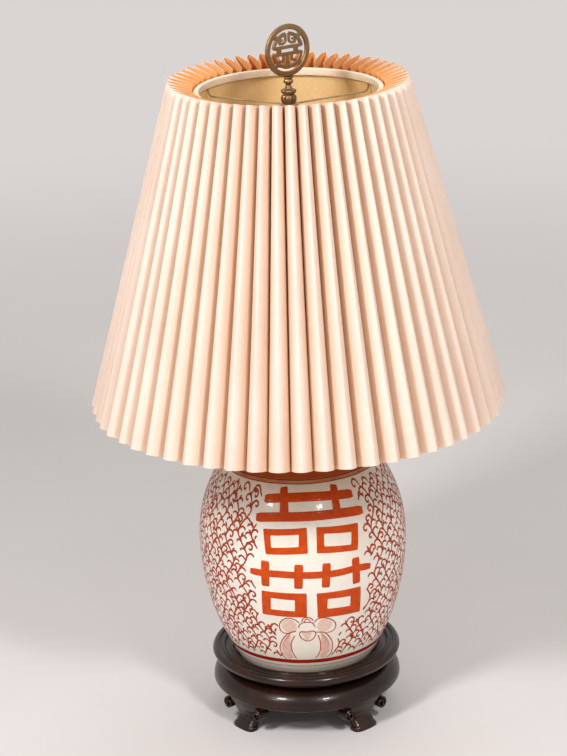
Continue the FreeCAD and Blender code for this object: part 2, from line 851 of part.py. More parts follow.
def make_holder_liner():
    """The paper tube that insulates the shell, with a hole for the switch stem."""
    body = tube("holder_liner", "core_level", "liner_radius", "liner_bore",
                "holder_level + shell_height - core_level - liner_drop")
    hole = new_sketch(body, "liner_hole", "XZ_Plane")
    draw_circle(hole, "switch_radius + switch_hole_gap", "0", "switch_rise")
    pocket_through(body, hole, "StemHole", both_ways=False)
    return body


def make_core():
    """The moulded core with flats for the terminals and a bore for the switch stem."""
    body = new_body("holder_core", "core_level")
    sketch = new_sketch(body, "core_outline", "XY_Plane")
    flat = "sqrt(core_radius^2 - core_flat^2)"
    draw(sketch, [
        ("core_flat", flat),
        ("-core_flat", flat, "core_radius", 1),
        ("-core_flat", f"-({flat})"),
        ("core_flat", f"-({flat})", "core_radius", 1),
    ])
    pad(body, sketch, "core_height")
    bore = new_sketch(body, "core_bore", "XZ_Plane", "switch_root")
    draw_circle(bore, "switch_radius + turning_fit", "0", "switch_rise")
    pocket_through(body, bore, "StemBore", both_ways=False)
    return body


def make_screw_shell():
    """The brass screw shell that the bulb's cap turns in."""
    outer = "screw_shell_bore + holder_sheet"
    return tube("screw_shell", "contact_level", outer, "screw_shell_bore", "screw_shell_height")


def make_contact():
    """The centre contact at the bottom of the screw shell."""
    return turned("centre_contact", "contact_level", [
        ("0", "0"),
        ("contact_radius", "0"),
        ("contact_radius", "contact_height"),
        ("0", "contact_height"),
    ])


def make_terminal(label, side):
    """A terminal screw lying against one flat of the core."""
    screw = document.addObject("Part::Cylinder", label)
    screw.Label = label
    turn = 90 if side == "" else -90
    screw.Placement = FreeCAD.Placement(vector(), FreeCAD.Rotation(vector(0, 1, 0), turn))
    bind(screw, Radius="screw_head_radius", Height="screw_head_height",
         Placement__Base__x=f"{side}core_flat",
         Placement__Base__z="core_level + core_height / 2")
    return screw


def make_switch_stem():
    """The stem of the turn switch, pointing at -Y."""
    stem = document.addObject("Part::Cylinder", "switch_stem")
    stem.Label = "switch_stem"
    stem.Placement = FreeCAD.Placement(vector(), FreeCAD.Rotation(vector(1, 0, 0), 90))
    bind(stem, Radius="switch_radius", Height="switch_reach - switch_root - turning_fit",
         Placement__Base__y="-(switch_root + turning_fit)", Placement__Base__z="switch_level")
    return stem


def make_knob():
    """The ribbed switch knob on the stem's end."""
    body = new_body("switch_knob", "switch_level")
    body.Placement = FreeCAD.Placement(vector(), FreeCAD.Rotation(vector(1, 0, 0), 90))
    bind(body, Placement__Base__z="switch_level", Placement__Base__y="-(switch_reach - knob_seat)")
    outline = draw(new_sketch(body, "knob_outline"), [
        ("switch_radius + thread_fit", "0"),
        ("knob_foot_radius", "0"),
        ("knob_radius", "knob_skirt_height"),
        ("knob_top_radius", "knob_length - knob_round"),
        ("knob_face_radius", "knob_length", "knob_bend", 1),
        ("0", "knob_length"),
        ("0", "knob_seat + thread_fit"),
        ("switch_radius + thread_fit", "knob_seat + thread_fit"),
    ])
    revolve(body, outline)
    return body


# ---------------------------------------------------------------------------
# Bulb
# ---------------------------------------------------------------------------

def make_bulb_cap():
    """The bulb's screw cap."""
    return turned("bulb_cap", "bulb_level + bulb_foot_height", [
        ("bulb_cap_radius - bulb_cap_round", "0"),
        ("bulb_cap_radius", "bulb_cap_round", "bulb_cap_bend", 1),
        ("bulb_cap_radius", "bulb_cap_height"),
        ("bulb_cap_radius - bulb_cap_sheet", "bulb_cap_height"),
        ("bulb_cap_radius - bulb_cap_sheet", "bulb_cap_foot"),
        ("bulb_cap_radius - bulb_cap_foot", "0"),
    ])


def make_bulb_foot():
    """The black insulator at the bulb's foot."""
    return turned("bulb_insulator", "bulb_level + bulb_tip_height", [
        ("0", "0"),
        ("bulb_tip_radius + bulb_foot_edge", "0"),
        ("bulb_cap_radius - bulb_foot_inset", "bulb_foot_height - bulb_tip_height"),
        ("0", "bulb_foot_height - bulb_tip_height"),
    ])


def make_bulb_tip():
    """The bulb's centre contact."""
    return turned("bulb_contact", "bulb_level", [
        ("0", "0"),
        ("bulb_tip_radius - bulb_tip_edge", "0"),
        ("bulb_tip_radius", "bulb_tip_height", "bulb_tip_bend", 1),
        ("0", "bulb_tip_height"),
    ])


def make_bulb_glass():
    """The glass envelope: a straight neck, a hollow bend and a ball."""
    base = "bulb_foot_height + bulb_cap_height - bulb_glass_bite"
    centre = f"bulb_length - bulb_radius - ({base})"
    start = "bulb_cap_radius - bulb_cap_sheet - turning_fit"
    ball_turn = "bulb_ball_turn"
    outer_x = f"bulb_radius * cos({ball_turn})"
    outer_y = f"{centre} - bulb_radius * sin({ball_turn})"
    inner = "bulb_radius - bulb_glass"
    return turned("bulb_glass", f"bulb_level + {base}", [
        (start, "0"),
        (start, "bulb_neck_straight"),
        ("bulb_neck_radius", "bulb_neck_rise"),
        (outer_x, outer_y, "bulb_bend", -1),
        ("0", f"{centre} + bulb_radius", "bulb_radius", 1),
        ("0", f"{centre} + {inner}"),
        (f"({inner}) * cos({ball_turn})", f"{centre} - ({inner}) * sin({ball_turn})", inner, -1),
        ("bulb_neck_radius - bulb_glass", "bulb_neck_rise", "bulb_bend + bulb_glass", 1),
        (f"{start} - bulb_glass", "bulb_neck_straight"),
        (f"{start} - bulb_glass", "0"),
    ])


def make_bulb_stem():
    """The glass stem inside the bulb that holds its filaments."""
    return turned("bulb_stem", "bulb_level + bulb_foot_height", [
        ("0", "0"),
        ("bulb_cap_radius - bulb_foot_inset", "0"),
        ("stem_radius", "stem_height / 2", "stem_height", -1),
        ("stem_tip_radius", "stem_height"),
        ("0", "stem_height"),
    ])


# ---------------------------------------------------------------------------
# Shade
# ---------------------------------------------------------------------------

def zigzag(tip_radius, valley_radius, level, count):
    """A closed zigzag wire with its tips and valleys on two circles."""
    step = math.pi / count
    points = []
    for number in range(2 * count):
        radius = valley_radius if number % 2 else tip_radius
        angle = number * step - math.pi / 2
        points.append(vector(radius * math.cos(angle), radius * math.sin(angle), level))
    return Part.makePolygon(points + points[:1])


def make_pleats():
    """The pleated sheet: a zigzag skin of even thickness, ruled from its top to its bottom edge."""
    count = int(measure("pleat_count"))
    sheet_wall = measure("pleat_sheet")
    height = measure("shade_height")
    edges = [
        (measure("pleat_bottom_radius"), measure("valley_bottom_radius"), 0.0),
        (measure("pleat_top_radius"), measure("valley_top_radius"), height),
    ]
    outer = []
    inner = []
    for tip, valley, level in edges:
        lean = math.atan2(valley * math.sin(math.pi / count), tip - valley * math.cos(math.pi / count))
        offset = sheet_wall / math.sin(lean)
        outer.append(zigzag(tip, valley + offset, level, count))
        inner.append(zigzag(tip - offset, valley, level, count))
    skin = Part.makeLoft(outer, True, True).cut(Part.makeLoft(inner, True, True))
    pleats = document.addObject("Part::Feature", "shade_pleats")
    pleats.Label = "shade_pleats"
    pleats.Shape = skin.Solids[0]
    bind(pleats, Placement__Base__z="shade_level")
    return pleats


def make_liner():
    """The stiff cone inside the pleats."""
    return turned("shade_liner", "shade_level", [
        ("liner_bottom_radius - liner_run", "0"),
        ("liner_bottom_radius", "0"),
        ("liner_top_radius", "liner_height"),
        ("liner_top_radius - liner_run", "liner_height"),
    ])


def make_top_tape():
    """The cream tape folded over the liner's top edge and its wire."""
    low = "liner_height - tape_height"
    outer = "liner_top_radius + paper_gap"
    run = "tape_sheet * sqrt(1 + liner_slope^2)"
    top = "liner_height + paper_gap"
    inside = "liner_top_radius - tape_inset"
    return turned("shade_top_tape", "shade_level", [
        (f"{outer} + tape_height * liner_slope", low),
        (f"{outer} + {run} + tape_height * liner_slope", low),
        (f"{outer} + {run}", f"{top} + tape_sheet"),
        (f"{inside} - {run}", f"{top} + tape_sheet"),
        (f"{inside} - {run} + tape_height * liner_slope", low),
        (f"{inside} + tape_height * liner_slope", low),
        (inside, top),
        (outer, top),
    ])


def make_bottom_tape():
    """The cream tape folded under the liner's bottom edge and its wire."""
    outer = "liner_bottom_radius + paper_gap"
    run = "tape_sheet * sqrt(1 + liner_slope^2)"
    inside = "liner_bottom_radius - tape_inset"
    return turned("shade_bottom_tape", "shade_level", [
        (f"{inside} - {run}", "-(paper_gap + tape_sheet)"),
        (f"{outer} + {run}", "-(paper_gap + tape_sheet)"),
        (f"{outer} + {run} - tape_height * liner_slope", "tape_height"),
        (f"{outer} - tape_height * liner_slope", "tape_height"),
        (outer, "-paper_gap"),
        (inside, "-paper_gap"),
        (f"{inside} - tape_height * liner_slope", "tape_height"),
        (f"{inside} - {run} - tape_height * liner_slope", "tape_height"),
    ])


def make_spider():
    """The hub washer and three wire arms that bend up to the top ring."""
    body = new_body("shade_spider", "hub_level")
    body.Placement = FreeCAD.Placement(vector(), FreeCAD.Rotation(vector(0, 0, 1), 1))
    bind(body, Placement__Base__z="hub_level", Placement__Rotation__Angle="arm_turn")
    hub = new_sketch(body, "spider_hub", "XY_Plane")
    draw_circle(hub, "hub_radius")
    draw_circle(hub, "stud_radius + turning_fit + hub_play")
    pad(body, hub, "hub_height", name="Hub")
    middle = "hub_height / 2"
    path = draw(new_sketch(body, "arm_path"), [
        ("hub_radius - arm_root", middle),
        ("arm_reach - arm_bend", middle),
        ("arm_reach", f"{middle} + arm_bend", "arm_bend", 1),
        ("arm_reach", "ring_level - hub_level - ring_wire - arm_gap"),
    ], closed=False)
    section = new_sketch(body, "arm_section", "YZ_Plane", "hub_radius - arm_root")
    draw_circle(section, "arm_wire", "0", middle)
    document.recompute()
    arm = body.newObject("PartDesign::AdditivePipe", "Arm")
    arm.Profile = section
    arm.Spine = (path, ["Edge1", "Edge2", "Edge3"])
    document.recompute()
    repeat(body, arm, hub, "arm_count")
    return body


# ---------------------------------------------------------------------------
# Finial
# ---------------------------------------------------------------------------

def make_finial_base():
    """The lobed knob that screws on the harp's stud."""
    bore = "stud_radius + turning_fit"
    depth = "stud_height - hub_height + seat_gap"
    return turned("finial_base", "finial_level", [
        (bore, "0"),
        ("finial_foot_radius", "0"),
        ("finial_base_radius", "finial_base_height * base_swell_ratio", "finial_base_height", 1),
        ("finial_foot_radius", "finial_base_height", "finial_base_height", 1),
        ("0", "finial_base_height"),
        ("0", depth),
        (bore, depth),
    ])


def make_finial_collar():
    """The petalled collar above the knob."""
    body = new_body("finial_collar", "finial_level + finial_base_height")
    outline = draw(new_sketch(body, "collar_outline"), [
        ("0", "0"),
        ("collar_foot_radius", "0"),
        ("finial_collar_radius - petal_radius", "finial_collar_height / 2", "collar_bend", -1),
        ("finial_waist_radius + finial_waist_flare", "finial_collar_height", "finial_collar_height", 1),
        ("0", "finial_collar_height"),
    ])
    revolve(body, outline)
    petal = new_sketch(body, "collar_petal", "XY_Plane", "petal_level")
    draw_circle(petal, "petal_radius", "finial_collar_radius - petal_radius")
    feature = pad(body, petal, "petal_height", name="Petal")
    document.recompute()
    repeat(body, feature, petal, "collar_petals")
    return body


def make_finial_neck():
    """The slim neck with a bead that carries the medallion."""
    bead_high = "finial_waist_height + finial_bead_height"
    return turned("finial_neck", "finial_level + finial_base_height + finial_collar_height", [
        ("0", "0"),
        ("finial_waist_radius + finial_waist_flare", "0"),
        ("finial_waist_radius", "finial_waist_rise", "finial_waist_bend", -1),
        ("finial_waist_radius", "finial_waist_height"),
        ("finial_waist_radius + finial_bead_flare", bead_high, "finial_bead_bend", 1),
        ("0", bead_high),
    ])


def make_medallion():
    """The pierced disc with a round longevity character."""
    body = new_body("finial_medallion", "medal_level")
    body.Placement = FreeCAD.Placement(vector(), FreeCAD.Rotation(vector(0, 0, 1), 1))
    bind(body, Placement__Base__z="medal_level", Placement__Rotation__Angle="finial_turn")
    relief = "medal_sheet - 2 * medal_relief"
    rim = new_sketch(body, "medal_rim")
    draw_circle(rim, "medal_radius")
    draw_circle(rim, "medal_opening")
    pad(body, rim, "medal_sheet", both_ways=True, name="Rim")
    bridge = new_sketch(body, "medal_bridge")
    root, tip, half = "inner_ring_outer - medal_bite", "medal_opening + medal_bite", "medal_stroke / 2"
    draw(bridge, [
        (f"({root} - {half}) * sqrt(0.5)", f"({root} + {half}) * sqrt(0.5)"),
        (f"({root} + {half}) * sqrt(0.5)", f"({root} - {half}) * sqrt(0.5)"),
        (f"({tip} + {half}) * sqrt(0.5)", f"({tip} - {half}) * sqrt(0.5)"),
        (f"({tip} - {half}) * sqrt(0.5)", f"({tip} + {half}) * sqrt(0.5)"),
    ])
    spoke = pad(body, bridge, relief, both_ways=True, name="Bridge")
    document.recompute()
    repeat(body, spoke, rim, "medal_bridges", name="Bridges")
    inner = new_sketch(body, "medal_inner")
    draw_circle(inner, "inner_ring_outer")
    draw_circle(inner, "inner_ring_inner")
    pad(body, inner, relief, both_ways=True, name="InnerRing")
    bars = new_sketch(body, "medal_bars")
    reach = "inner_ring_inner + medal_bite"
    outer_bar = "medal_bars + medal_stroke"
    end = f"sqrt(({reach})^2 - ({outer_bar})^2)"
    draw_box(bars, f"-({end})", end, f"-({outer_bar})", outer_bar)
    draw_box(bars, "-medal_slot_half", "medal_slot_half", "-medal_bars", "medal_bars")
    pad(body, bars, relief, both_ways=True, name="Bars")
    strokes = new_sketch(body, "medal_strokes")
    for sign in ("-", ""):
        sides = sorted_pair(f"{sign}medal_bars", f"{sign}({outer_bar})")
        draw_box(strokes, *sides, f"{outer_bar} - medal_joint", reach)
        draw_box(strokes, *sides, f"-({reach})", f"-({outer_bar} - medal_joint)")
    pad(body, strokes, relief, both_ways=True, name="Strokes")
    hooks = new_sketch(body, "medal_hooks")
    low = f"{outer_bar} + hook_gap"
    for sign in ("-", ""):
        sides = sorted_pair(f"{sign}({outer_bar} - medal_joint)", f"{sign}hook_reach")
        draw_box(hooks, *sides, low, f"{low} + hook_width")
        draw_box(hooks, *sides, f"-({low} + hook_width)", f"-({low})")
    pad(body, hooks, relief, both_ways=True, name="Hooks")
    notches = new_sketch(body, "medal_notches")
    for sign in ("-", ""):
        sides = sorted_pair(f"{sign}medal_notch_reach", f"{sign}(inner_ring_outer + medal_joint)")
        draw_box(notches, *sides, "-medal_bars", "medal_bars")
    pocket_through(body, notches, "Notches")
    return body


# ---------------------------------------------------------------------------
# Assembly
# ---------------------------------------------------------------------------

pieces += [make_foot(number) for number in range(1, 5)]
pieces += [make_apron(), make_waist(), make_board(), make_jar()]
pieces += [make_pipe(), make_washer(), make_nut(), make_bushing(), make_cap(), make_neck_tube()]
pieces += [make_saddle(), make_harp(), make_stud()]
pieces += [make_sleeve("harp_sleeve_left", "-"), make_sleeve("harp_sleeve_right", "")]
pieces += [make_holder_cap(), make_holder_shell(), make_holder_liner(), make_core()]
pieces += [make_screw_shell(), make_contact()]
pieces += [make_terminal("terminal_screw_left", "-"), make_terminal("terminal_screw_right", "")]
pieces += [make_switch_stem(), make_knob()]
pieces += [make_bulb_cap(), make_bulb_foot(), make_bulb_tip(), make_bulb_glass(), make_bulb_stem()]
pieces += [make_pleats(), make_liner(), make_top_tape(), make_bottom_tape()]
pieces += [hoop("shade_top_ring", "ring_level", "top_ring_radius", "ring_wire")]
pieces += [hoop("shade_bottom_ring", "shade_level + ring_depth", "bottom_ring_radius", "ring_wire")]
pieces += [make_spider()]
pieces += [make_finial_base(), make_finial_collar(), make_finial_neck(), make_medallion()]

document.recompute()

faults = [item.Name for item in document.Objects if {"Invalid", "Error"} & set(item.State)]
if faults:
    raise ValueError(f"failed objects: {faults}")
for piece in pieces:
    if piece.Shape.isNull() or not piece.Shape.isValid() or len(piece.Shape.Solids) != 1:
        raise ValueError(f"{piece.Label} is not one valid solid")

os.makedirs("parts", exist_ok=True)
for piece in pieces:
    piece.Shape.exportStep(os.path.join("parts", piece.Label + ".step"))
    box = piece.Shape.BoundBox
    print(f"{piece.Label}: z {box.ZMin:.2f} to {box.ZMax:.2f}, volume {piece.Shape.Volume:.0f}")
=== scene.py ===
"""Dresses a table lamp: a painted ginger jar on a carved stand under a pleated shade.

All sizes are in millimetres and become metres when a mesh is made. +Z is up and the
painted character faces -Y.
"""

import logging
import math
from dataclasses import dataclass, field, replace
from enum import Enum

import bpy
import numpy as np
from mathutils import Matrix


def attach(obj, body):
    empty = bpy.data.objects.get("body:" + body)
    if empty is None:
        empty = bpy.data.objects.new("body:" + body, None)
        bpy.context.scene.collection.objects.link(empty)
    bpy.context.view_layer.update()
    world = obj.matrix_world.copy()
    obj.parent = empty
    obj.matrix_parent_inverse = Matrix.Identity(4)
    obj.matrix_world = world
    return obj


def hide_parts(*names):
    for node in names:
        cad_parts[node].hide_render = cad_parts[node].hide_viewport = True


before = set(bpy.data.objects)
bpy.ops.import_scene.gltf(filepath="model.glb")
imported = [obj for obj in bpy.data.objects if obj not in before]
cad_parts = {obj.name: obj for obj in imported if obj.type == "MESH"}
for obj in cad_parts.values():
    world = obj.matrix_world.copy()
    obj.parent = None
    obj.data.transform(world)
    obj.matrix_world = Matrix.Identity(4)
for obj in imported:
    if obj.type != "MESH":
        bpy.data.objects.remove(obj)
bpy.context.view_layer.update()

log = logging.getLogger("ginger_jar_lamp")
MM = 0.001
FULL_TURN = 2.0 * math.pi


class Tone(Enum):
    """Colours of the lamp and its setting, as 0 to 255 steps of a display."""

    IVORY = (238, 230, 219)
    IVORY_SHADE = (222, 208, 190)
    FOOT_CREAM = (232, 212, 184)
    IRON_RED = (206, 78, 10)
    IRON_DEEP = (184, 56, 5)
    BAND_RED = (176, 42, 20)
    BAND_DEEP = (146, 32, 18)
    VINE_DEEP = (156, 44, 20)
    VINE_PALE = (186, 74, 38)
    LINE_BROWN = (92, 36, 22)
    SHOULDER_RUST = (172, 82, 36)
    SHOULDER_TAN = (206, 138, 88)
    PETAL_PINK = (200, 108, 88)
    PETAL_PALE = (218, 146, 128)
    PETAL_LINE = (150, 56, 40)
    PAPER = (239, 216, 202)
    PAPER_SHADE = (230, 204, 186)
    # Painted shade: the colour that the front paper is deepened towards in its creases.
    PAPER_PAINTED_CREASE_SHADE = (228, 190, 150)
    PAPER_BACK = (240, 180, 116)
    PAPER_BACK_DEEP = (222, 144, 78)
    LINER = (240, 208, 154)
    LINER_SHADE = (224, 182, 122)
    TAPE = (248, 231, 208)
    TAPE_SHADE = (236, 212, 182)
    ROSEWOOD = (33, 18, 12)
    ROSEWOOD_DARK = (13, 8, 6)
    ROSEWOOD_RED = (52, 27, 17)
    BRONZE = (166, 134, 98)
    BRONZE_DARK = (88, 67, 50)
    BRASS = (206, 168, 96)
    BRASS_DARK = (150, 112, 58)
    STEEL = (172, 172, 168)
    STEEL_DARK = (112, 110, 106)
    WIRE_CREAM = (164, 138, 98)
    WIRE_WORN = (116, 92, 60)
    BLACK_MOULDING = (28, 26, 25)
    CARD = (150, 126, 96)
    CARD_SHADE = (118, 96, 70)
    GLASS = (252, 252, 250)
    FLOOR = (224, 220, 218)
    BACKDROP = (218, 212, 210)

    @property
    def rgba(self) -> tuple[float, float, float, float]:
        """The colour as linear light, opaque."""
        steps = np.array(self.value) / 255.0
        linear = np.where(steps <= 0.04045, steps / 12.92, ((steps + 0.055) / 1.055) ** 2.4)
        return (*(float(part) for part in linear), 1.0)


# ---------------------------------------------------------------------------
# Surfaces worked out on grids
# ---------------------------------------------------------------------------


@dataclass
class Skin:
    """A surface as points in millimetres, its quads and triangles, and a UV per corner."""

    points: np.ndarray
    quads: np.ndarray
    triangles: np.ndarray
    quad_uv: np.ndarray
    triangle_uv: np.ndarray

    def moved(self, axes: np.ndarray, origin: np.ndarray) -> "Skin":
        """Turn the points by three axes given as rows, then shift them to an origin."""
        return Skin(self.points @ axes + origin, self.quads, self.triangles, self.quad_uv, self.triangle_uv)


def joined(skins: list[Skin]) -> Skin:
    """Put several surfaces into one.

    Args:
        skins: the surfaces, each with faces numbered from its own first point.

    Returns:
        One surface whose faces are numbered through all the points.
    """
    starts = np.cumsum([0] + [len(skin.points) for skin in skins[:-1]])
    return Skin(
        np.concatenate([skin.points for skin in skins]),
        np.concatenate([skin.quads + start for skin, start in zip(skins, starts)]),
        np.concatenate([skin.triangles + start for skin, start in zip(skins, starts)]),
        np.concatenate([skin.quad_uv for skin in skins]),
        np.concatenate([skin.triangle_uv for skin in skins]),
    )


def grid_skin(
    points: np.ndarray,
    wrap_rows: bool = False,
    wrap_columns: bool = False,
    poles: tuple[np.ndarray | None, np.ndarray | None] = (None, None),
    uv: np.ndarray | None = None,
) -> Skin:
    """Join a grid of points with quads.

    A face's outward side is (next column - this one) x (next row - this one).

    Args:
        points: rows x columns x 3.
        wrap_rows: whether the last row joins the first.
        wrap_columns: whether the last column joins the first.
        poles: a point that closes the first row and one that closes the last row.
        uv: a grid of texture places, one row or column longer where the grid wraps.

    Returns:
        The surface.
    """
    rows, columns = points.shape[:2]
    high, wide = (rows if wrap_rows else rows - 1), (columns if wrap_columns else columns - 1)
    row, column = (part.ravel() for part in np.meshgrid(np.arange(high), np.arange(wide), indexing="ij"))
    corner_rows = np.stack([row, row, row + 1, row + 1], axis=-1)
    corner_columns = np.stack([column, column + 1, column + 1, column], axis=-1)
    quads = (corner_rows % rows) * columns + corner_columns % columns
    if uv is None:
        uv = np.stack(np.meshgrid(np.linspace(0, 1, wide + 1), np.linspace(0, 1, high + 1)), axis=-1)
    quad_uv = uv[corner_rows, corner_columns]
    vertices = [points.reshape(-1, 3)]
    triangles, triangle_uv = [], []
    around = np.arange(wide)
    for pole, ring, turn in ((poles[0], 0, 1), (poles[1], rows - 1, -1)):
        if pole is None:
            continue
        number = sum(len(part) for part in vertices)
        vertices.append(np.asarray(pole, dtype=float).reshape(1, 3))
        near, far = ring * columns + around, ring * columns + (around + 1) % columns
        ends = (far, near) if turn > 0 else (near, far)
        triangles.append(np.stack([np.full(wide, number), *ends], axis=-1))
        flat = uv[min(ring, high), around]
        triangle_uv.append(np.stack([flat, flat, flat], axis=1))
    return Skin(
        np.concatenate(vertices),
        quads,
        np.concatenate(triangles) if triangles else np.zeros((0, 3), dtype=int),
        quad_uv,
        np.concatenate(triangle_uv) if triangle_uv else np.zeros((0, 3, 2)),
    )


def arc(start: tuple, end: tuple, radius: float, side: int, steps: int = 16) -> np.ndarray:
    """Points of the short arc between two places; side +1 bulges to the right of the way there.

    Args:
        start: first place.
        end: last place.
        radius: the arc's radius.
        side: +1 or -1.
        steps: how many pieces the arc is cut into.

    Returns:
        The points after the start, up to the end.
    """
    first, last = np.array(start, dtype=float), np.array(end, dtype=float)
    chord = last - first
    length = np.hypot(*chord)
    right = np.array([chord[1], -chord[0]]) / length
    centre = (first + last) / 2 - right * side * math.sqrt(radius**2 - length**2 / 4)
    opening, closing = (np.arctan2(*(place - centre)[::-1]) for place in (first, last))
    sweep = (closing - opening + math.pi) % FULL_TURN - math.pi
    angles = opening + sweep * np.linspace(0, 1, steps + 1)[1:]
    return centre + radius * np.stack([np.cos(angles), np.sin(angles)], axis=-1)


def swell(out: float, rise: float) -> float:
    """Radius of an arc that starts upright and comes in by one length while it rises by another."""
    return (out**2 + rise**2) / (2 * out)


def outline(entries: list[tuple], steps: int = 16) -> np.ndarray:
    """Points of a chain of lines and arcs.

    Args:
        entries: (x, y) for a line that arrives there, or (x, y, radius, side) for an arc.
        steps: how many pieces each arc is cut into.

    Returns:
        The chain's points.
    """
    chain = [np.array([entries[0][:2]], dtype=float)]
    for before, entry in zip(entries, entries[1:]):
        if len(entry) == 2:
            chain.append(np.array([entry], dtype=float))
        else:
            chain.append(arc(before[:2], entry[:2], entry[2], entry[3], steps))
    return np.concatenate(chain)


def eased(path: np.ndarray, radius: float, closed: bool = True, steps: int = 4) -> np.ndarray:
    """Round the sharp corners of a path.

    Each corner C becomes the curve (1-t)^2 A + 2t(1-t) C + t^2 B, where A and B lie on its
    two sides at the radius, or at 0.45 of the side where that is less.

    Args:
        path: points x 2.
        radius: how far from a corner its rounding starts.
        closed: whether the path comes back to its start.
        steps: how many pieces a rounding is cut into.

    Returns:
        The rounded path.
    """
    before, after = np.roll(path, 1, axis=0) - path, np.roll(path, -1, axis=0) - path
    length_before = np.linalg.norm(before, axis=1, keepdims=True)
    length_after = np.linalg.norm(after, axis=1, keepdims=True)
    before, after = before / np.maximum(length_before, 1e-9), after / np.maximum(length_after, 1e-9)
    first = path + before * np.minimum(radius, 0.45 * length_before)
    last = path + after * np.minimum(radius, 0.45 * length_after)
    t = np.linspace(0, 1, steps + 1)[None, :, None]
    curve = (1 - t) ** 2 * first[:, None] + 2 * t * (1 - t) * path[:, None] + t**2 * last[:, None]
    sharp = np.sum(before * after, axis=1) > -math.cos(0.25)
    if not closed:
        sharp[[0, -1]] = False
    curve[~sharp, 0] = path[~sharp]
    return curve[sharp[:, None] | (np.arange(steps + 1) == 0)]


def spaced(path: np.ndarray, step: float) -> np.ndarray:
    """Put extra points on a path's long straight runs, at most a step apart."""
    length = np.linalg.norm(np.diff(path, axis=0), axis=1)
    along = np.concatenate([[0], np.cumsum(length)])
    wanted = [np.linspace(a, b, max(1, math.ceil((b - a) / step)), endpoint=False) for a, b in zip(along, along[1:])]
    places = np.append(np.concatenate(wanted), along[-1])
    return np.stack([np.interp(places, along, path[:, axis]) for axis in range(path.shape[1])], axis=-1)


def turned(profile: np.ndarray, segments: int = 160, closed: bool = True, lobes: tuple | None = None) -> Skin:
    """Turn a profile of (radius, height) about the upright axis.

    A point is (r cos a, r sin a, h). With lobes (count, share) the radius is
    r (1 + share cos(count a)), where share may be one number per profile point.

    Args:
        profile: points up the outside and, if closed, down the inside.
        segments: how many steps a full turn has.
        closed: whether the profile comes back to its start; otherwise ends on the axis close as poles.
        lobes: number and depth of lobes round the piece.

    Returns:
        The turned surface.
    """
    poles = [None, None]
    if not closed:
        if profile[0, 0] == 0:
            poles[0] = np.array([0, 0, profile[0, 1]])
            profile = profile[1:]
        if profile[-1, 0] == 0:
            poles[1] = np.array([0, 0, profile[-1, 1]])
            profile = profile[:-1]
    angles = math.pi / 2 + FULL_TURN * np.arange(segments) / segments
    radius = np.repeat(profile[:, :1], segments, axis=1)
    if lobes is not None:
        share = np.interp(profile[:, 1], lobes[1][0], lobes[1][1])[:, None]
        radius = radius * (1 + share * np.cos(lobes[0] * angles))
    height = np.repeat(profile[:, 1:], segments, axis=1)
    points = np.stack([radius * np.cos(angles), radius * np.sin(angles), height], axis=-1)
    return grid_skin(points, wrap_rows=closed, wrap_columns=True, poles=tuple(poles))


def smooth_line(places: np.ndarray, count: int) -> np.ndarray:
    """A smooth line through places, by the Catmull-Rom formula.

    Between b and c it is (2b + (c-a)u + (2a-5b+4c-d)u^2 + (3b-a-3c+d)u^3) / 2.

    Args:
        places: the places it goes through.
        count: how many points it gets.

    Returns:
        count points.
    """
    padded = np.concatenate([2 * places[:1] - places[1:2], places, 2 * places[-1:] - places[-2:-1]])
    along = np.linspace(0, len(places) - 1, count)
    number = np.minimum(along.astype(int), len(places) - 2)
    u = (along - number)[:, None]
    a, b, c, d = (padded[number + shift] for shift in range(4))
    return (2 * b + (c - a) * u + (2 * a - 5 * b + 4 * c - d) * u**2 + (3 * b - a - 3 * c + d) * u**3) / 2


def flat_bar(path: np.ndarray, width: float | np.ndarray, depth: float, edge: float, closed: bool = False) -> Skin:
    """Carry a bar with softened edges along a path in the XY plane.

    The section is a rectangle, width across the path and depth along Z, with its four
    corners cut by the edge size.

    Args:
        path: points x 2.
        width: one width or one per point.
        depth: size along Z, half to each side.
        edge: size of the cut corners.
        closed: whether the path comes back to its start.

    Returns:
        The bar.
    """
    along = (np.roll(path, -1, axis=0) - np.roll(path, 1, axis=0)) if closed else np.gradient(path, axis=0)
    along = along / np.linalg.norm(along, axis=1, keepdims=True)
    right = np.stack([along[:, 1], -along[:, 0]], axis=-1)
    half = np.broadcast_to(np.asarray(width, dtype=float) / 2, (len(path),))[:, None]
    deep = depth / 2
    sides = np.array([-1, -1, -1, 1, 1, 1, 1, -1.0])
    inset = np.array([0, 0, edge, edge, 0, 0, edge, edge])
    levels = np.array([-deep + edge, deep - edge, deep, deep, deep - edge, -deep + edge, -deep, -deep])
    across = sides * (half - np.minimum(inset, half * 0.6))
    flat = path[:, None] + right[:, None] * across[..., None]
    points = np.concatenate([flat, np.broadcast_to(levels[None, :, None], (*flat.shape[:2], 1))], axis=-1)
    ends = (None, None) if closed else (points[0].mean(axis=0), points[-1].mean(axis=0))
    return grid_skin(points, wrap_rows=closed, wrap_columns=True, poles=ends)


def circle(radius: float, start: float = 0.0, end: float = 360.0, count: int = 96) -> np.ndarray:
    """Points of a circle or of an arc of it, anticlockwise, angles in degrees."""
    whole = abs(end - start) >= 360
    angles = np.radians(np.linspace(start, end, count, endpoint=not whole))
    return radius * np.stack([np.cos(angles), np.sin(angles)], axis=-1)


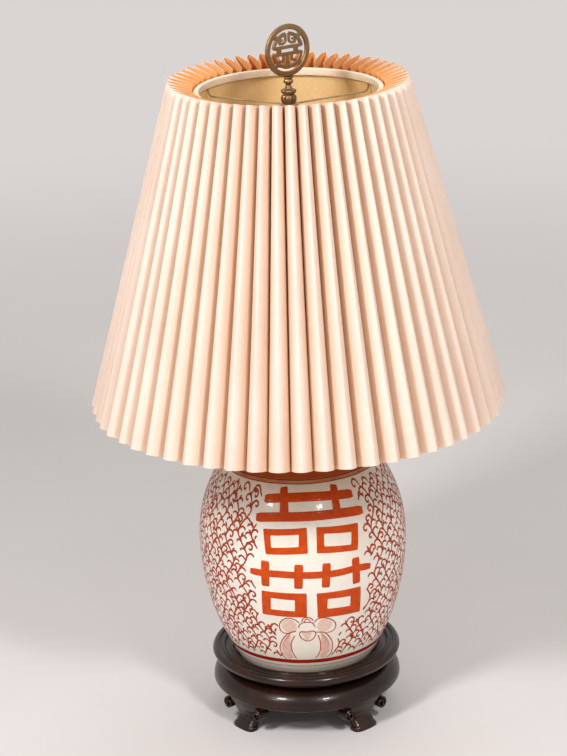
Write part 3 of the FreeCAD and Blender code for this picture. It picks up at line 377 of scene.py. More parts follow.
def add_piece(
    name: str,
    skin: Skin,
    finish: "Finish | list[Finish]",
    body: str,
    nodes: tuple[str, ...] = (),
    choice: np.ndarray | None = None,
    crease: float = 40.0,
) -> bpy.types.Object:
    """Make an object of a surface, dress it and tie it to the model.

    Args:
        name: the piece's name.
        skin: its surface.
        finish: its finish, or several.
        body: the body it moves with.
        nodes: the CAD nodes it stands for.
        choice: for each quad the number of its finish.
        crease: edges bent by more than this many degrees stay sharp.

    Returns:
        The object.
    """
    finishes = finish if isinstance(finish, list) else [finish]
    mesh = bpy.data.meshes.new(name)
    mesh.from_pydata((skin.points * MM).tolist(), [], skin.quads.tolist() + skin.triangles.tolist())
    layer = mesh.uv_layers.new(name="UVMap")
    layer.data.foreach_set("uv", np.concatenate([skin.quad_uv.reshape(-1, 2), skin.triangle_uv.reshape(-1,
        2)]).ravel())
    for each in finishes:
        mesh.materials.append(each.material())
    if choice is not None:
        numbers = np.concatenate([choice, np.zeros(len(skin.triangles), dtype=int)])
        mesh.polygons.foreach_set("material_index", numbers.astype(np.int32))
    mesh.shade_smooth()
    mesh.set_sharp_from_angle(angle=math.radians(crease))
    mesh.update()
    piece = bpy.data.objects.new(name, mesh)
    bpy.context.scene.collection.objects.link(piece)
    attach(piece, body)
    if nodes:
        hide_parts(*nodes)
    log.info("%s: %d points, %d faces", name, len(mesh.vertices), len(mesh.polygons))
    return piece


def dress_node(node: str, finish: "Finish") -> None:
    """Give a CAD node its finish in every material slot it has."""
    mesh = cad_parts[node].data
    mesh.materials.clear()
    mesh.materials.append(finish.material())
    log.info("%s: dressed as %s", node, finish.name)


# ---------------------------------------------------------------------------
# Finishes
# ---------------------------------------------------------------------------


class Wiring:
    """Adds nodes to one tree and joins them."""

    def __init__(self, tree: bpy.types.NodeTree) -> None:
        """Keep the tree that is being wired."""
        self.tree = tree

    def node(self, kind: str, inputs: dict | None = None, **choices) -> bpy.types.Node:
        """Add a node, set its choices and feed its inputs.

        Args:
            kind: the node's type.
            inputs: socket name or number to a value or to another node's output.
            choices: the node's own settings.

        Returns:
            The node.
        """
        made = self.tree.nodes.new(kind)
        for name, value in choices.items():
            setattr(made, name, value)
        for name, value in (inputs or {}).items():
            if isinstance(value, bpy.types.NodeSocket):
                self.tree.links.new(value, made.inputs[name])
            else:
                made.inputs[name].default_value = value
        return made

    def math(self, operation: str, first, second=0.0, third=0.0) -> bpy.types.NodeSocket:
        """The result of a sum on numbers or outputs."""
        inputs = {0: first, 1: second}
        if operation in ("MULTIPLY_ADD", "COMPARE", "SMOOTH_MIN"):
            inputs[2] = third
        return self.node("ShaderNodeMath", inputs, operation=operation).outputs[0]

    def between(self, factor, low, high) -> bpy.types.NodeSocket:
        """The colour that lies between two others by a factor."""
        mix = self.node("ShaderNodeMix", {0: factor, 6: low, 7: high}, data_type="RGBA")
        return mix.outputs[2]

    def ramp(self, value, low: float, high: float, bottom: float = 0.0, top: float = 1.0) -> bpy.types.NodeSocket:
        """A value carried smoothly from one range to another, held at its ends."""
        span = {0: value, 1: low, 2: high, 3: bottom, 4: top}
        return self.node("ShaderNodeMapRange", span, interpolation_type="SMOOTHSTEP").outputs[0]

    def place(self) -> bpy.types.NodeSocket:
        """The point's own place on the piece, in metres."""
        return self.node("ShaderNodeTexCoord").outputs["Object"]

    def stretched(self, vector, scale: tuple, turn: tuple = (0.0, 0.0, 0.0)) -> bpy.types.NodeSocket:
        """A place turned and scaled along its axes."""
        inputs = {"Vector": vector, "Rotation": turn, "Scale": scale}
        return self.node("ShaderNodeMapping", inputs).outputs[0]

    def noise(self, vector, scale: float, detail: float = 3.0, roughness: float = 0.5) -> bpy.types.NodeSocket:
        """Soft noise between 0 and 1."""
        inputs = {"Vector": vector, "Scale": scale, "Detail": detail, "Roughness": roughness}
        return self.node("ShaderNodeTexNoise", inputs).outputs[0]


def group(name: str, inputs: dict[str, object], outputs: dict[str, str]) -> tuple[bpy.types.NodeTree, Wiring, dict]:
    """Start a shader node group with named sockets.

    Args:
        name: the group's name.
        inputs: socket name to default value; four numbers make a colour, one makes a value.
        outputs: socket name to socket type.

    Returns:
        The tree, a wiring for it, and its input sockets by name.
    """
    tree = bpy.data.node_groups.new(name, "ShaderNodeTree")
    for label, value in inputs.items():
        kind = "NodeSocketColor" if isinstance(value, tuple) else "NodeSocketFloat"
        socket = tree.interface.new_socket(label, in_out="INPUT", socket_type=kind)
        socket.default_value = value
    for label, kind in outputs.items():
        tree.interface.new_socket(label, in_out="OUTPUT", socket_type=kind)
    wiring = Wiring(tree)
    entry = wiring.node("NodeGroupInput")
    return tree, wiring, {label: entry.outputs[label] for label in inputs}


class Effect(Enum):
    """Surface effects that several finishes share, each one shader node group."""

    CLOUD = "clouded colour"
    GRAIN = "close wood grain"
    BRUSH = "brush streaks"
    PATINA = "aged metal"
    # Paper fibres together with painted shade in the pleats' creases.
    FIBRE_AND_CREASE_SHADE = "paper fibres and crease shade"

    def tree(self) -> bpy.types.NodeTree:
        """The effect's node group, built once."""
        found = bpy.data.node_groups.get(self.value)
        if found is None:
            found = {
                Effect.CLOUD: cloud_group,
                Effect.GRAIN: grain_group,
                Effect.BRUSH: brush_group,
                Effect.PATINA: patina_group,
                Effect.FIBRE_AND_CREASE_SHADE: fibre_and_crease_shade_group,
            }[self](self.value)
        return found


def cloud_group(name: str) -> bpy.types.NodeTree:
    """Two colours clouded into each other by soft noise, with a matching height."""
    tree, wiring, inputs = group(
        name,
        {"Colour": (1.0, 1.0, 1.0, 1.0), "Second": (0.5, 0.5, 0.5, 1.0), "Scale": 20.0, "Share": 0.5},
        {"Colour": "NodeSocketColor", "Height": "NodeSocketFloat"},
    )
    place = wiring.place()
    broad = wiring.noise(place, inputs["Scale"], 4.0)
    fine = wiring.noise(place, wiring.math("MULTIPLY", inputs["Scale"], 9.0), 2.0)
    cloud = wiring.ramp(wiring.math("MULTIPLY_ADD", fine, 0.25, wiring.math("MULTIPLY", broad, 0.8)), 0.35, 0.7)
    colour = wiring.between(wiring.math("MULTIPLY", cloud, inputs["Share"]), inputs["Colour"], inputs["Second"])
    wiring.node("NodeGroupOutput", {"Colour": colour, "Height": fine})
    return tree


def grain_group(name: str) -> bpy.types.NodeTree:
    """Dark pores and soft bands drawn out along Y, as in close-grained hardwood."""
    tree, wiring, inputs = group(
        name,
        {"Colour": (0.5, 0.3, 0.2, 1.0), "Dark": (0.1, 0.05, 0.03, 1.0), "Warm": (0.4, 0.2, 0.1, 1.0), "Scale": 30.0},
        {"Colour": "NodeSocketColor", "Height": "NodeSocketFloat"},
    )
    place = wiring.place()
    bands = wiring.noise(wiring.stretched(place, (1.0, 0.12, 1.0)), inputs["Scale"], 5.0, 0.6)
    pores = wiring.noise(
        wiring.stretched(place, (1.0, 0.05, 1.0)), wiring.math("MULTIPLY", inputs["Scale"], 14.0), 2.0
    )
    pore = wiring.ramp(pores, 0.5, 0.72)
    warm = wiring.between(wiring.ramp(bands, 0.42, 0.68), inputs["Colour"], inputs["Warm"])
    colour = wiring.between(wiring.math("MULTIPLY", pore, 0.7), warm, inputs["Dark"])
    wiring.node("NodeGroupOutput", {"Colour": colour, "Height": wiring.math("SUBTRACT", 1.0, pore)})
    return tree


def brush_group(name: str) -> bpy.types.NodeTree:
    """Streaks of thick and thin paint along a stroke's own U direction."""
    tree, wiring, inputs = group(
        name,
        {"Thick": (0.6, 0.1, 0.05, 1.0), "Thin": (0.7, 0.2, 0.1, 1.0), "Streaks": 9.0},
        {"Colour": "NodeSocketColor", "Height": "NodeSocketFloat"},
    )
    along = wiring.node("ShaderNodeTexCoord").outputs["UV"]
    hairs = wiring.noise(wiring.stretched(along, (0.35, 1.0, 1.0)), inputs["Streaks"], 3.0, 0.65)
    pools = wiring.noise(wiring.place(), 120.0, 2.0)
    load = wiring.ramp(wiring.math("MULTIPLY_ADD", pools, 0.45, wiring.math("MULTIPLY", hairs, 0.65)), 0.35, 0.75)
    wiring.node(
        "NodeGroupOutput", {"Colour": wiring.between(load, inputs["Thick"], inputs["Thin"]), "Height": load}
    )
    return tree


def patina_group(name: str) -> bpy.types.NodeTree:
    """Metal that is bright on its edges and dull and dark in its hollows."""
    tree, wiring, inputs = group(
        name,
        {"Metal": (0.6, 0.5, 0.3, 1.0), "Dull": (0.2, 0.15, 0.1, 1.0), "Scale": 160.0, "Age": 0.5, "Shine": 0.3},
        {"Colour": "NodeSocketColor", "Roughness": "NodeSocketFloat", "Height": "NodeSocketFloat"},
    )
    place = wiring.place()
    spots = wiring.noise(place, inputs["Scale"], 5.0, 0.6)
    edges = wiring.node("ShaderNodeNewGeometry").outputs["Pointiness"]
    rubbed = wiring.ramp(edges, 0.49, 0.56)
    dull = wiring.math("MULTIPLY", wiring.ramp(spots, 0.3, 0.7), inputs["Age"])
    dull = wiring.math("MULTIPLY", dull, wiring.math("SUBTRACT", 1.0, wiring.math("MULTIPLY", rubbed, 0.7)))
    colour = wiring.between(dull, inputs["Metal"], inputs["Dull"])
    rough = wiring.math("MULTIPLY_ADD", dull, 0.35, inputs["Shine"])
    wiring.node("NodeGroupOutput", {"Colour": colour, "Roughness": rough, "Height": spots})
    return tree


def fibre_and_crease_shade_group(name: str) -> bpy.types.NodeTree:
    """Fine fibres and faint blotches of coated paper, with painted shade that deepens the colour where U nears a
    crease at 1.
    """
    tree, wiring, inputs = group(
        name,
        {
            "Colour": (0.9, 0.8, 0.7, 1.0), "Shade": (0.8, 0.7, 0.55, 1.0), "Painted Crease Shade": (0.7, 0.5, 0.3, 1.0),
            "Fibre": 700.0, "Crease Shade Share": 0.0,
        },
        {"Colour": "NodeSocketColor", "Height": "NodeSocketFloat"},
    )
    place = wiring.place()
    fibres = wiring.noise(wiring.stretched(place, (1.0, 1.0, 0.22)), inputs["Fibre"], 3.0, 0.7)
    blotches = wiring.noise(wiring.stretched(place, (1.0, 1.0, 0.5)), 22.0, 4.0)
    tint = wiring.math("MULTIPLY_ADD", fibres, 0.5, wiring.math("MULTIPLY", blotches, 0.6))
    colour = wiring.between(wiring.ramp(tint, 0.35, 0.8), inputs["Colour"], inputs["Shade"])
    # Painted shade: as U nears a crease at 1, the colour is mixed towards the crease colour by the given share.
    across = wiring.node("ShaderNodeSeparateXYZ", {0: wiring.node("ShaderNodeTexCoord").outputs["UV"]}).outputs[0]
    crease = wiring.math("MULTIPLY", wiring.ramp(across, 0.3, 0.95), inputs["Crease Shade Share"])
    colour = wiring.between(crease, colour, inputs["Painted Crease Shade"])
    wiring.node("NodeGroupOutput", {"Colour": colour, "Height": fibres})
    return tree


@dataclass(frozen=True)
class Finish:
    """What every finish has: a name, and a material that is made once."""

    name: str

    def material(self) -> bpy.types.Material:
        """The finish's material."""
        found = bpy.data.materials.get(self.name)
        if found is None:
            found = bpy.data.materials.new(self.name)
            found.use_nodes = True
            found.node_tree.nodes.clear()
            self.wire(Wiring(found.node_tree))
        return found

    def wire(self, wiring: Wiring) -> None:
        """Wire the shader; each finish has its own way."""
        raise NotImplementedError

    def surface(self, wiring: Wiring, inputs: dict, height=None, relief: float = 0.0) -> bpy.types.Node:
        """Add the surface shader, its relief and the output.

        Args:
            wiring: the material's wiring.
            inputs: the shader's inputs.
            height: an output that gives the relief's height, if there is any.
            relief: the relief's depth in metres.

        Returns:
            The shader node.
        """
        if height is not None:
            bump = wiring.node("ShaderNodeBump", {"Height": height, "Distance": relief, "Strength": 1.0})
            inputs = {**inputs, "Normal": bump.outputs[0]}
        shader = wiring.node("ShaderNodeBsdfPrincipled", inputs)
        wiring.node("ShaderNodeOutputMaterial", {"Surface": shader.outputs[0]})
        return shader

    def effect(self, wiring: Wiring, effect: Effect, inputs: dict) -> bpy.types.Node:
        """Place one of the shared effects in the material."""
        made = wiring.node("ShaderNodeGroup")
        made.node_tree = effect.tree()
        for label, value in inputs.items():
            made.inputs[label].default_value = value
        return made


@dataclass(frozen=True)
class Paper(Finish):
    """Coated paper with fine fibres; where fold is set, painted shade darkens its creases."""

    colour: Tone
    shade: Tone
    roughness: float = 0.62
    relief: float = 0.00004
    # Share of painted shade laid into the creases.
    fold: float = 0.0

    def wire(self, wiring: Wiring) -> None:
        """Fibres tint the colour and raise the surface a little; painted shade deepens it towards the creases."""
        # The effect gives the fibres and the painted crease shade together.
        fibre = self.effect(wiring, Effect.FIBRE_AND_CREASE_SHADE, {
            "Colour": self.colour.rgba, "Shade": self.shade.rgba, "Painted Crease Shade": Tone.PAPER_PAINTED_CREASE_SHADE.rgba, "Crease Shade Share": self.fold,
        })
        inputs = {"Base Color": fibre.outputs[0], "Roughness": self.roughness, "Specular IOR Level": 0.3}
        self.surface(wiring, inputs, fibre.outputs[1], self.relief)


@dataclass(frozen=True)
class Lacquer(Finish):
    """Dark polished hardwood."""

    colour: Tone = Tone.ROSEWOOD
    dark: Tone = Tone.ROSEWOOD_DARK
    warm: Tone = Tone.ROSEWOOD_RED
    roughness: float = 0.28
    reflectance: float = 0.22
    coat: float = 0.24
    coat_roughness: float = 0.08
    relief: float = 0.00002

    def wire(self, wiring: Wiring) -> None:
        """Grain under a thin clear coat."""
        grain = self.effect(
            wiring, Effect.GRAIN, {"Colour": self.colour.rgba, "Dark": self.dark.rgba, "Warm": self.warm.rgba}
        )
        inputs = {
            "Base Color": grain.outputs[0], "Roughness": self.roughness, "Coat Weight": self.coat,
            "Coat Roughness": self.coat_roughness, "Specular IOR Level": self.reflectance,
        }
        self.surface(wiring, inputs, grain.outputs[1], self.relief)


@dataclass(frozen=True)
class Glaze(Finish):
    """Ivory glaze with painted bands at given heights."""

    bands: tuple[tuple[float, float, Tone, Tone], ...] = ()
    roughness: float = 0.25
    reflectance: float = 0.35
    coat: float = 0.5
    coat_roughness: float = 0.05
    relief: float = 0.0003

    def wire(self, wiring: Wiring) -> None:
        """Clouded glaze, then each band laid over it with slightly unsteady edges."""
        cloud = self.effect(
            wiring,
            Effect.CLOUD,
            {"Colour": Tone.IVORY.rgba, "Second": Tone.IVORY_SHADE.rgba, "Scale": 16.0, "Share": 0.55},
        )
        place = wiring.place()
        height = wiring.math("MULTIPLY", wiring.node("ShaderNodeSeparateXYZ", {0: place}).outputs[2], 1000.0)
        waver = wiring.noise(wiring.stretched(place, (1.0, 1.0, 0.2)), 26.0, 2.0)
        height = wiring.math("MULTIPLY_ADD", waver, 0.8, wiring.math("SUBTRACT", height, 0.4))
        wash = wiring.noise(wiring.stretched(place, (1.0, 1.0, 5.0)), 60.0, 4.0, 0.6)
        colour = cloud.outputs[0]
        for low, high, thick, thin in self.bands:
            inside = wiring.math(
                "MULTIPLY", wiring.ramp(height, low - 0.25, low + 0.25), wiring.ramp(height, high + 0.25, high - 0.25)
            )
            paint = wiring.between(wiring.ramp(wash, 0.35, 0.7), thick.rgba, thin.rgba)
            colour = wiring.between(inside, colour, paint)
        inputs = {
            "Base Color": colour, "Roughness": self.roughness, "Coat Weight": self.coat,
            "Coat Roughness": self.coat_roughness, "Specular IOR Level": self.reflectance,
        }
        self.surface(wiring, inputs, wiring.noise(place, 45.0, 2.0), self.relief)


@dataclass(frozen=True)
class Enamel(Finish):
    """Hand-brushed overglaze paint."""

    thick: Tone
    thin: Tone
    streaks: float = 9.0
    roughness: float = 0.4
    reflectance: float = 0.12
    coat: float = 0.15
    coat_roughness: float = 0.08
    relief: float = 0.00003

    def wire(self, wiring: Wiring) -> None:
        """Streaks along each stroke under a glossy skin."""
        brush = self.effect(
            wiring, Effect.BRUSH, {"Thick": self.thick.rgba, "Thin": self.thin.rgba, "Streaks": self.streaks}
        )
        inputs = {
            "Base Color": brush.outputs[0], "Roughness": self.roughness, "Coat Weight": self.coat,
            "Coat Roughness": self.coat_roughness, "Specular IOR Level": self.reflectance,
        }
        self.surface(wiring, inputs, brush.outputs[1], self.relief)


@dataclass(frozen=True)
class Metal(Finish):
    """Metal with its own age and shine."""

    colour: Tone
    dull: Tone
    shine: float = 0.28
    age: float = 0.5
    relief: float = 0.00003

    def wire(self, wiring: Wiring) -> None:
        """Patina sets colour, roughness and relief."""
        patina = self.effect(
            wiring,
            Effect.PATINA,
            {"Metal": self.colour.rgba, "Dull": self.dull.rgba, "Age": self.age, "Shine": self.shine},
        )
        inputs = {"Base Color": patina.outputs[0], "Roughness": patina.outputs[1], "Metallic": 1.0}
        self.surface(wiring, inputs, patina.outputs[2], self.relief)


@dataclass(frozen=True)
class Moulding(Finish):
    """Moulded or pressed stuff such as card, fibre or black insulator."""

    colour: Tone
    shade: Tone
    roughness: float = 0.5

    def wire(self, wiring: Wiring) -> None:
        """Clouded colour with a fine tooth."""
        cloud = self.effect(
            wiring,
            Effect.CLOUD,
            {"Colour": self.colour.rgba, "Second": self.shade.rgba, "Scale": 60.0, "Share": 0.6},
        )
        self.surface(
            wiring, {"Base Color": cloud.outputs[0], "Roughness": self.roughness}, cloud.outputs[1], 0.00005
        )


@dataclass(frozen=True)
class Glass(Finish):
    """Frosted or nearly clear glass."""

    roughness: float = 0.0
    bend: float = 1.45

    def wire(self, wiring: Wiring) -> None:
        """A transmitting shader with a faint unevenness."""
        waver = wiring.noise(wiring.place(), 60.0, 2.0)
        inputs = {
            "Base Color": Tone.GLASS.rgba, "Roughness": self.roughness, "Transmission Weight": 1.0, "IOR": self.bend,
        }
        self.surface(wiring, inputs, waver, 0.00002)


@dataclass(frozen=True)
class Ground(Finish):
    """The pale floor, which fades into the backdrop away from the lamp."""

    near: float = 0.9
    far: float = 2.4

    def wire(self, wiring: Wiring) -> None:
        """Matt near the lamp; further off, the eye, mirrors and glass see the backdrop's own colour."""
        place = wiring.place()
        flat = wiring.node("ShaderNodeVectorMath", {0: place}, operation="LENGTH").outputs["Value"]
        path = wiring.node("ShaderNodeLightPath")
        seen = wiring.math("MAXIMUM", path.outputs["Is Camera Ray"], path.outputs["Is Glossy Ray"])
        seen = wiring.math("MAXIMUM", seen, path.outputs["Is Transmission Ray"])
        share = wiring.math("MULTIPLY", wiring.ramp(flat, self.near, self.far), seen)
        cloud = wiring.between(wiring.noise(place, 3.0, 2.0), Tone.FLOOR.rgba, Tone.BACKDROP.rgba)
        matt = wiring.node("ShaderNodeBsdfPrincipled", {"Base Color": cloud, "Roughness": 0.9})
        glow = wiring.node("ShaderNodeEmission", {"Color": Tone.BACKDROP.rgba, "Strength": 1.0})
        mixed = wiring.node("ShaderNodeMixShader", {0: share, 1: matt.outputs[0], 2: glow.outputs[0]})
        wiring.node("ShaderNodeOutputMaterial", {"Surface": mixed.outputs[0]})


ROSEWOOD = Lacquer("polished rosewood")
# The front paper gets painted shade in its creases at a share of 0.55; the back paper gets none.
PLEAT_FRONT = Paper("pleat paper front", Tone.PAPER, Tone.PAPER_SHADE, fold=0.55)
PLEAT_BACK = Paper("pleat paper back", Tone.PAPER_BACK, Tone.PAPER_BACK_DEEP)
LINER = Paper("liner", Tone.LINER, Tone.LINER_SHADE, roughness=0.45)
TAPE = Paper("edge tape", Tone.TAPE, Tone.TAPE_SHADE, roughness=0.7)
IRON_RED = Enamel("iron red enamel", Tone.IRON_DEEP, Tone.IRON_RED)
VINE_RED = Enamel("vine enamel", Tone.VINE_DEEP, Tone.VINE_PALE, streaks=3.0)
PETAL_LINE = Enamel("petal outline enamel", Tone.PETAL_LINE, Tone.VINE_PALE, streaks=3.0)
PETAL_PINK = Enamel("petal pink enamel", Tone.PETAL_PINK, Tone.PETAL_PALE, streaks=4.0)
BRONZE = Metal("aged bronze", Tone.BRONZE, Tone.BRONZE_DARK, shine=0.34, age=0.9)
PAINTED_WIRE = Moulding("painted wire", Tone.WIRE_CREAM, Tone.WIRE_WORN, roughness=0.4)
BRASS = Metal("lacquered brass", Tone.BRASS, Tone.BRASS_DARK)
STEEL = Metal("zinc plated steel", Tone.STEEL, Tone.STEEL_DARK, shine=0.34, age=0.4)
BLACK = Moulding("black moulding", Tone.BLACK_MOULDING, Tone.ROSEWOOD_DARK, roughness=0.35)
CARD = Moulding("insulating card", Tone.CARD, Tone.CARD_SHADE, roughness=0.8)
FROSTED_GLASS = Glass("bulb glass", roughness=0.35)
STEM_GLASS = Glass("bulb stem glass", roughness=0.12)


# ---------------------------------------------------------------------------
# Wooden stand
# ---------------------------------------------------------------------------


@dataclass(frozen=True)
class Stand:
    """The carved and turned rosewood stand."""

    foot_height: float = 32.0
    foot_turn: float = 40.7
    foot_levels: tuple[float, ...] = (0, 3.2, 5, 11, 18, 26, 32)
    foot_outside: tuple[float, ...] = (91.0, 91.0, 89.0, 84.0, 86.0, 89.6, 91.4)
    foot_thick: tuple[float, ...] = (12.8, 12.8, 11.5, 11.5, 12, 13.5, 15)
    foot_width_levels: tuple[float, ...] = (0, 3.2, 5, 11, 17, 24, 28, 32)
    foot_half_width: tuple[float, ...] = (14.5, 14.5, 12.5, 13.0, 17.0, 23.5, 27.5, 30)
    curl_place: tuple[float, float] = (21.5, 20.5)
    curl_out: float = 82.0
    curl_radius: float = 6.2
    curl_width: float = 2.3
    curl_depth: float = 13.0
    curl_edge: float = 0.5
    apron_radius: float = 94.6
    apron_top: float = 80.0
    apron_level: float = 32.0
    apron_height: float = 20.0
    apron_bore: float = 74.6
    apron_lip: float = 3.1
    waist_level: float = 52.0
    waist_radius: float = 78.0
    waist_bore: float = 66.0
    board_level: float = 58.0
    board_radius: float = 94.9

    def build(self) -> None:
        """Make board, waist, apron and feet."""
        self.board()
        self.waist()
        self.apron()
        for number in range(4):
            self.foot(number)

    def board(self) -> None:
        """The top board: a rim, a groove, a bead, a dish and a collar, all softly eased."""
        base = self.board_level
        profile = outline([
            (5.25, base), (87.0, base), (self.board_radius, base + 6.5, 8.125, 1), (91.7, base + 11, 5.5, 1),
            (88.3, base + 11), (88.0, base + 9.2), (85.5, base + 9.2), (85.5, base + 10),
            (82.9, base + 10, 2.6, 1), (81.4, base + 7.6), (78.4, base + 7.4), (76.9, base + 8.0),
            (76.9, base + 9), (73.5, base + 9, 3.4, 1), (73.5, base + 3), (5.25, base + 3),
        ])
        add_piece("stand_board_turned", turned(spaced(eased(profile, 0.7), 6.0)), ROSEWOOD, "base", ("stand_board",))

    def waist(self) -> None:
        """The hollow ring under the board."""
        base = self.waist_level
        bore, rim = self.waist_bore, self.waist_radius
        profile = outline([(bore, base), (rim, base), (rim, base + 6, 6.0, -1), (bore, base + 6)])
        add_piece("stand_waist_turned", turned(eased(profile, 0.3)), ROSEWOOD, "base", ("stand_waist",))

    def apron(self) -> None:
        """The bulging ring, whose side is one large arc with a small turned lip below."""
        base = self.apron_level
        lip, top = self.apron_lip, base + self.apron_height
        bulge = swell(self.apron_radius - self.apron_top, self.apron_height - lip)
        profile = outline([
            (self.apron_bore, base), (self.apron_radius - lip, base), (self.apron_radius, base + lip, lip, 1),
            (self.apron_top, top, bulge, 1), (self.apron_bore, top),
        ], steps=20)
        add_piece("stand_apron_turned", turned(eased(profile, 0.6)), ROSEWOOD, "base", ("stand_apron",))

    def foot(self, number: int) -> None:
        """One scroll foot: a leg that narrows to its ankle, a toe and two curls.

        At each height the leg's section is |x/w|^4 + |y/t|^4 = 1, with half width w along the
        rim and half thickness t across it, both read from short tables.
        """
        height = np.linspace(0, self.foot_height, 49)
        outer = np.interp(height, self.foot_levels, self.foot_outside)
        thick = np.interp(height, self.foot_levels, self.foot_thick)
        half_width = np.interp(height, self.foot_width_levels, self.foot_half_width)
        kernel = np.array([1, 2, 3, 2, 1]) / 9
        outer, thick, half_width = (
            np.convolve(np.pad(line, 2, mode="edge"), kernel, mode="valid") for line in (outer, thick, half_width)
        )
        turn = FULL_TURN * np.arange(40) / 40
        square = (np.abs(np.cos(turn)) ** 4 + np.abs(np.sin(turn)) ** 4) ** -0.25
        across = half_width[:, None] * square * np.sin(turn)
        out = (outer - thick / 2)[:, None] + (thick / 2)[:, None] * square * np.cos(turn)
        bend = np.sqrt(np.maximum(out**2 - across**2, 1.0))
        level = np.repeat(height[:, None], len(turn), axis=1)
        points = np.stack([bend, across, level], axis=-1)
        leg = grid_skin(points, wrap_columns=True, poles=(points[0].mean(axis=0), points[-1].mean(axis=0)))
        skins = [leg] + [self.curl(side) for side in (-1, 1)]
        angle = math.radians(self.foot_turn + 90 * number)
        axes = np.array([[math.cos(angle), math.sin(angle), 0], [-math.sin(angle), math.cos(angle), 0], [0, 0, 1]])
        skin = joined(skins).moved(axes, np.zeros(3))
        name = f"stand_foot_{number + 1}"
        add_piece(name + "_carved", skin, ROSEWOOD, "base", (name,))

    def curl(self, side: int) -> Skin:
        """A leaf curl beside the leg: a bar along a spiral whose radius shrinks evenly with its turn."""
        turn = np.linspace(0, 1, 60)
        radius = self.curl_radius * (1 - 0.74 * turn)
        angle = math.radians(100) - turn * math.radians(520)
        across, up = self.curl_place
        path = np.stack([side * (across + radius * np.cos(angle)), up + radius * np.sin(angle)], axis=-1)
        width = self.curl_width * (1 - 0.45 * turn)
        if side < 0:
            path, width = path[::-1], width[::-1]
        bar = flat_bar(path, width, self.curl_depth, self.curl_edge)
        axes = np.array([[0, 1, 0], [0, 0, 1], [1, 0, 0]], dtype=float)
        return bar.moved(axes, np.array([self.curl_out, 0, 0]))


# ---------------------------------------------------------------------------
# Painted jar
# ---------------------------------------------------------------------------


CROWN = np.array([-0.05, 0.7, 0.95, 1, 0.95, 0.7, -0.05, -3])
"""Heights across a broad stroke from edge to edge and, last, under it, as shares of its lift."""


@dataclass(frozen=True)
class Stroke:
    """One brush stroke: places as (round the jar, height), a width and how its ends narrow."""

    places: tuple[tuple[float, float], ...]
    width: float
    start: float = 0.7
    end: float = 0.7
    lift: float = 0.1

    def shifted(self, along: float) -> "Stroke":
        """The stroke moved round the jar."""
        return replace(self, places=tuple((along + s, z) for s, z in self.places))


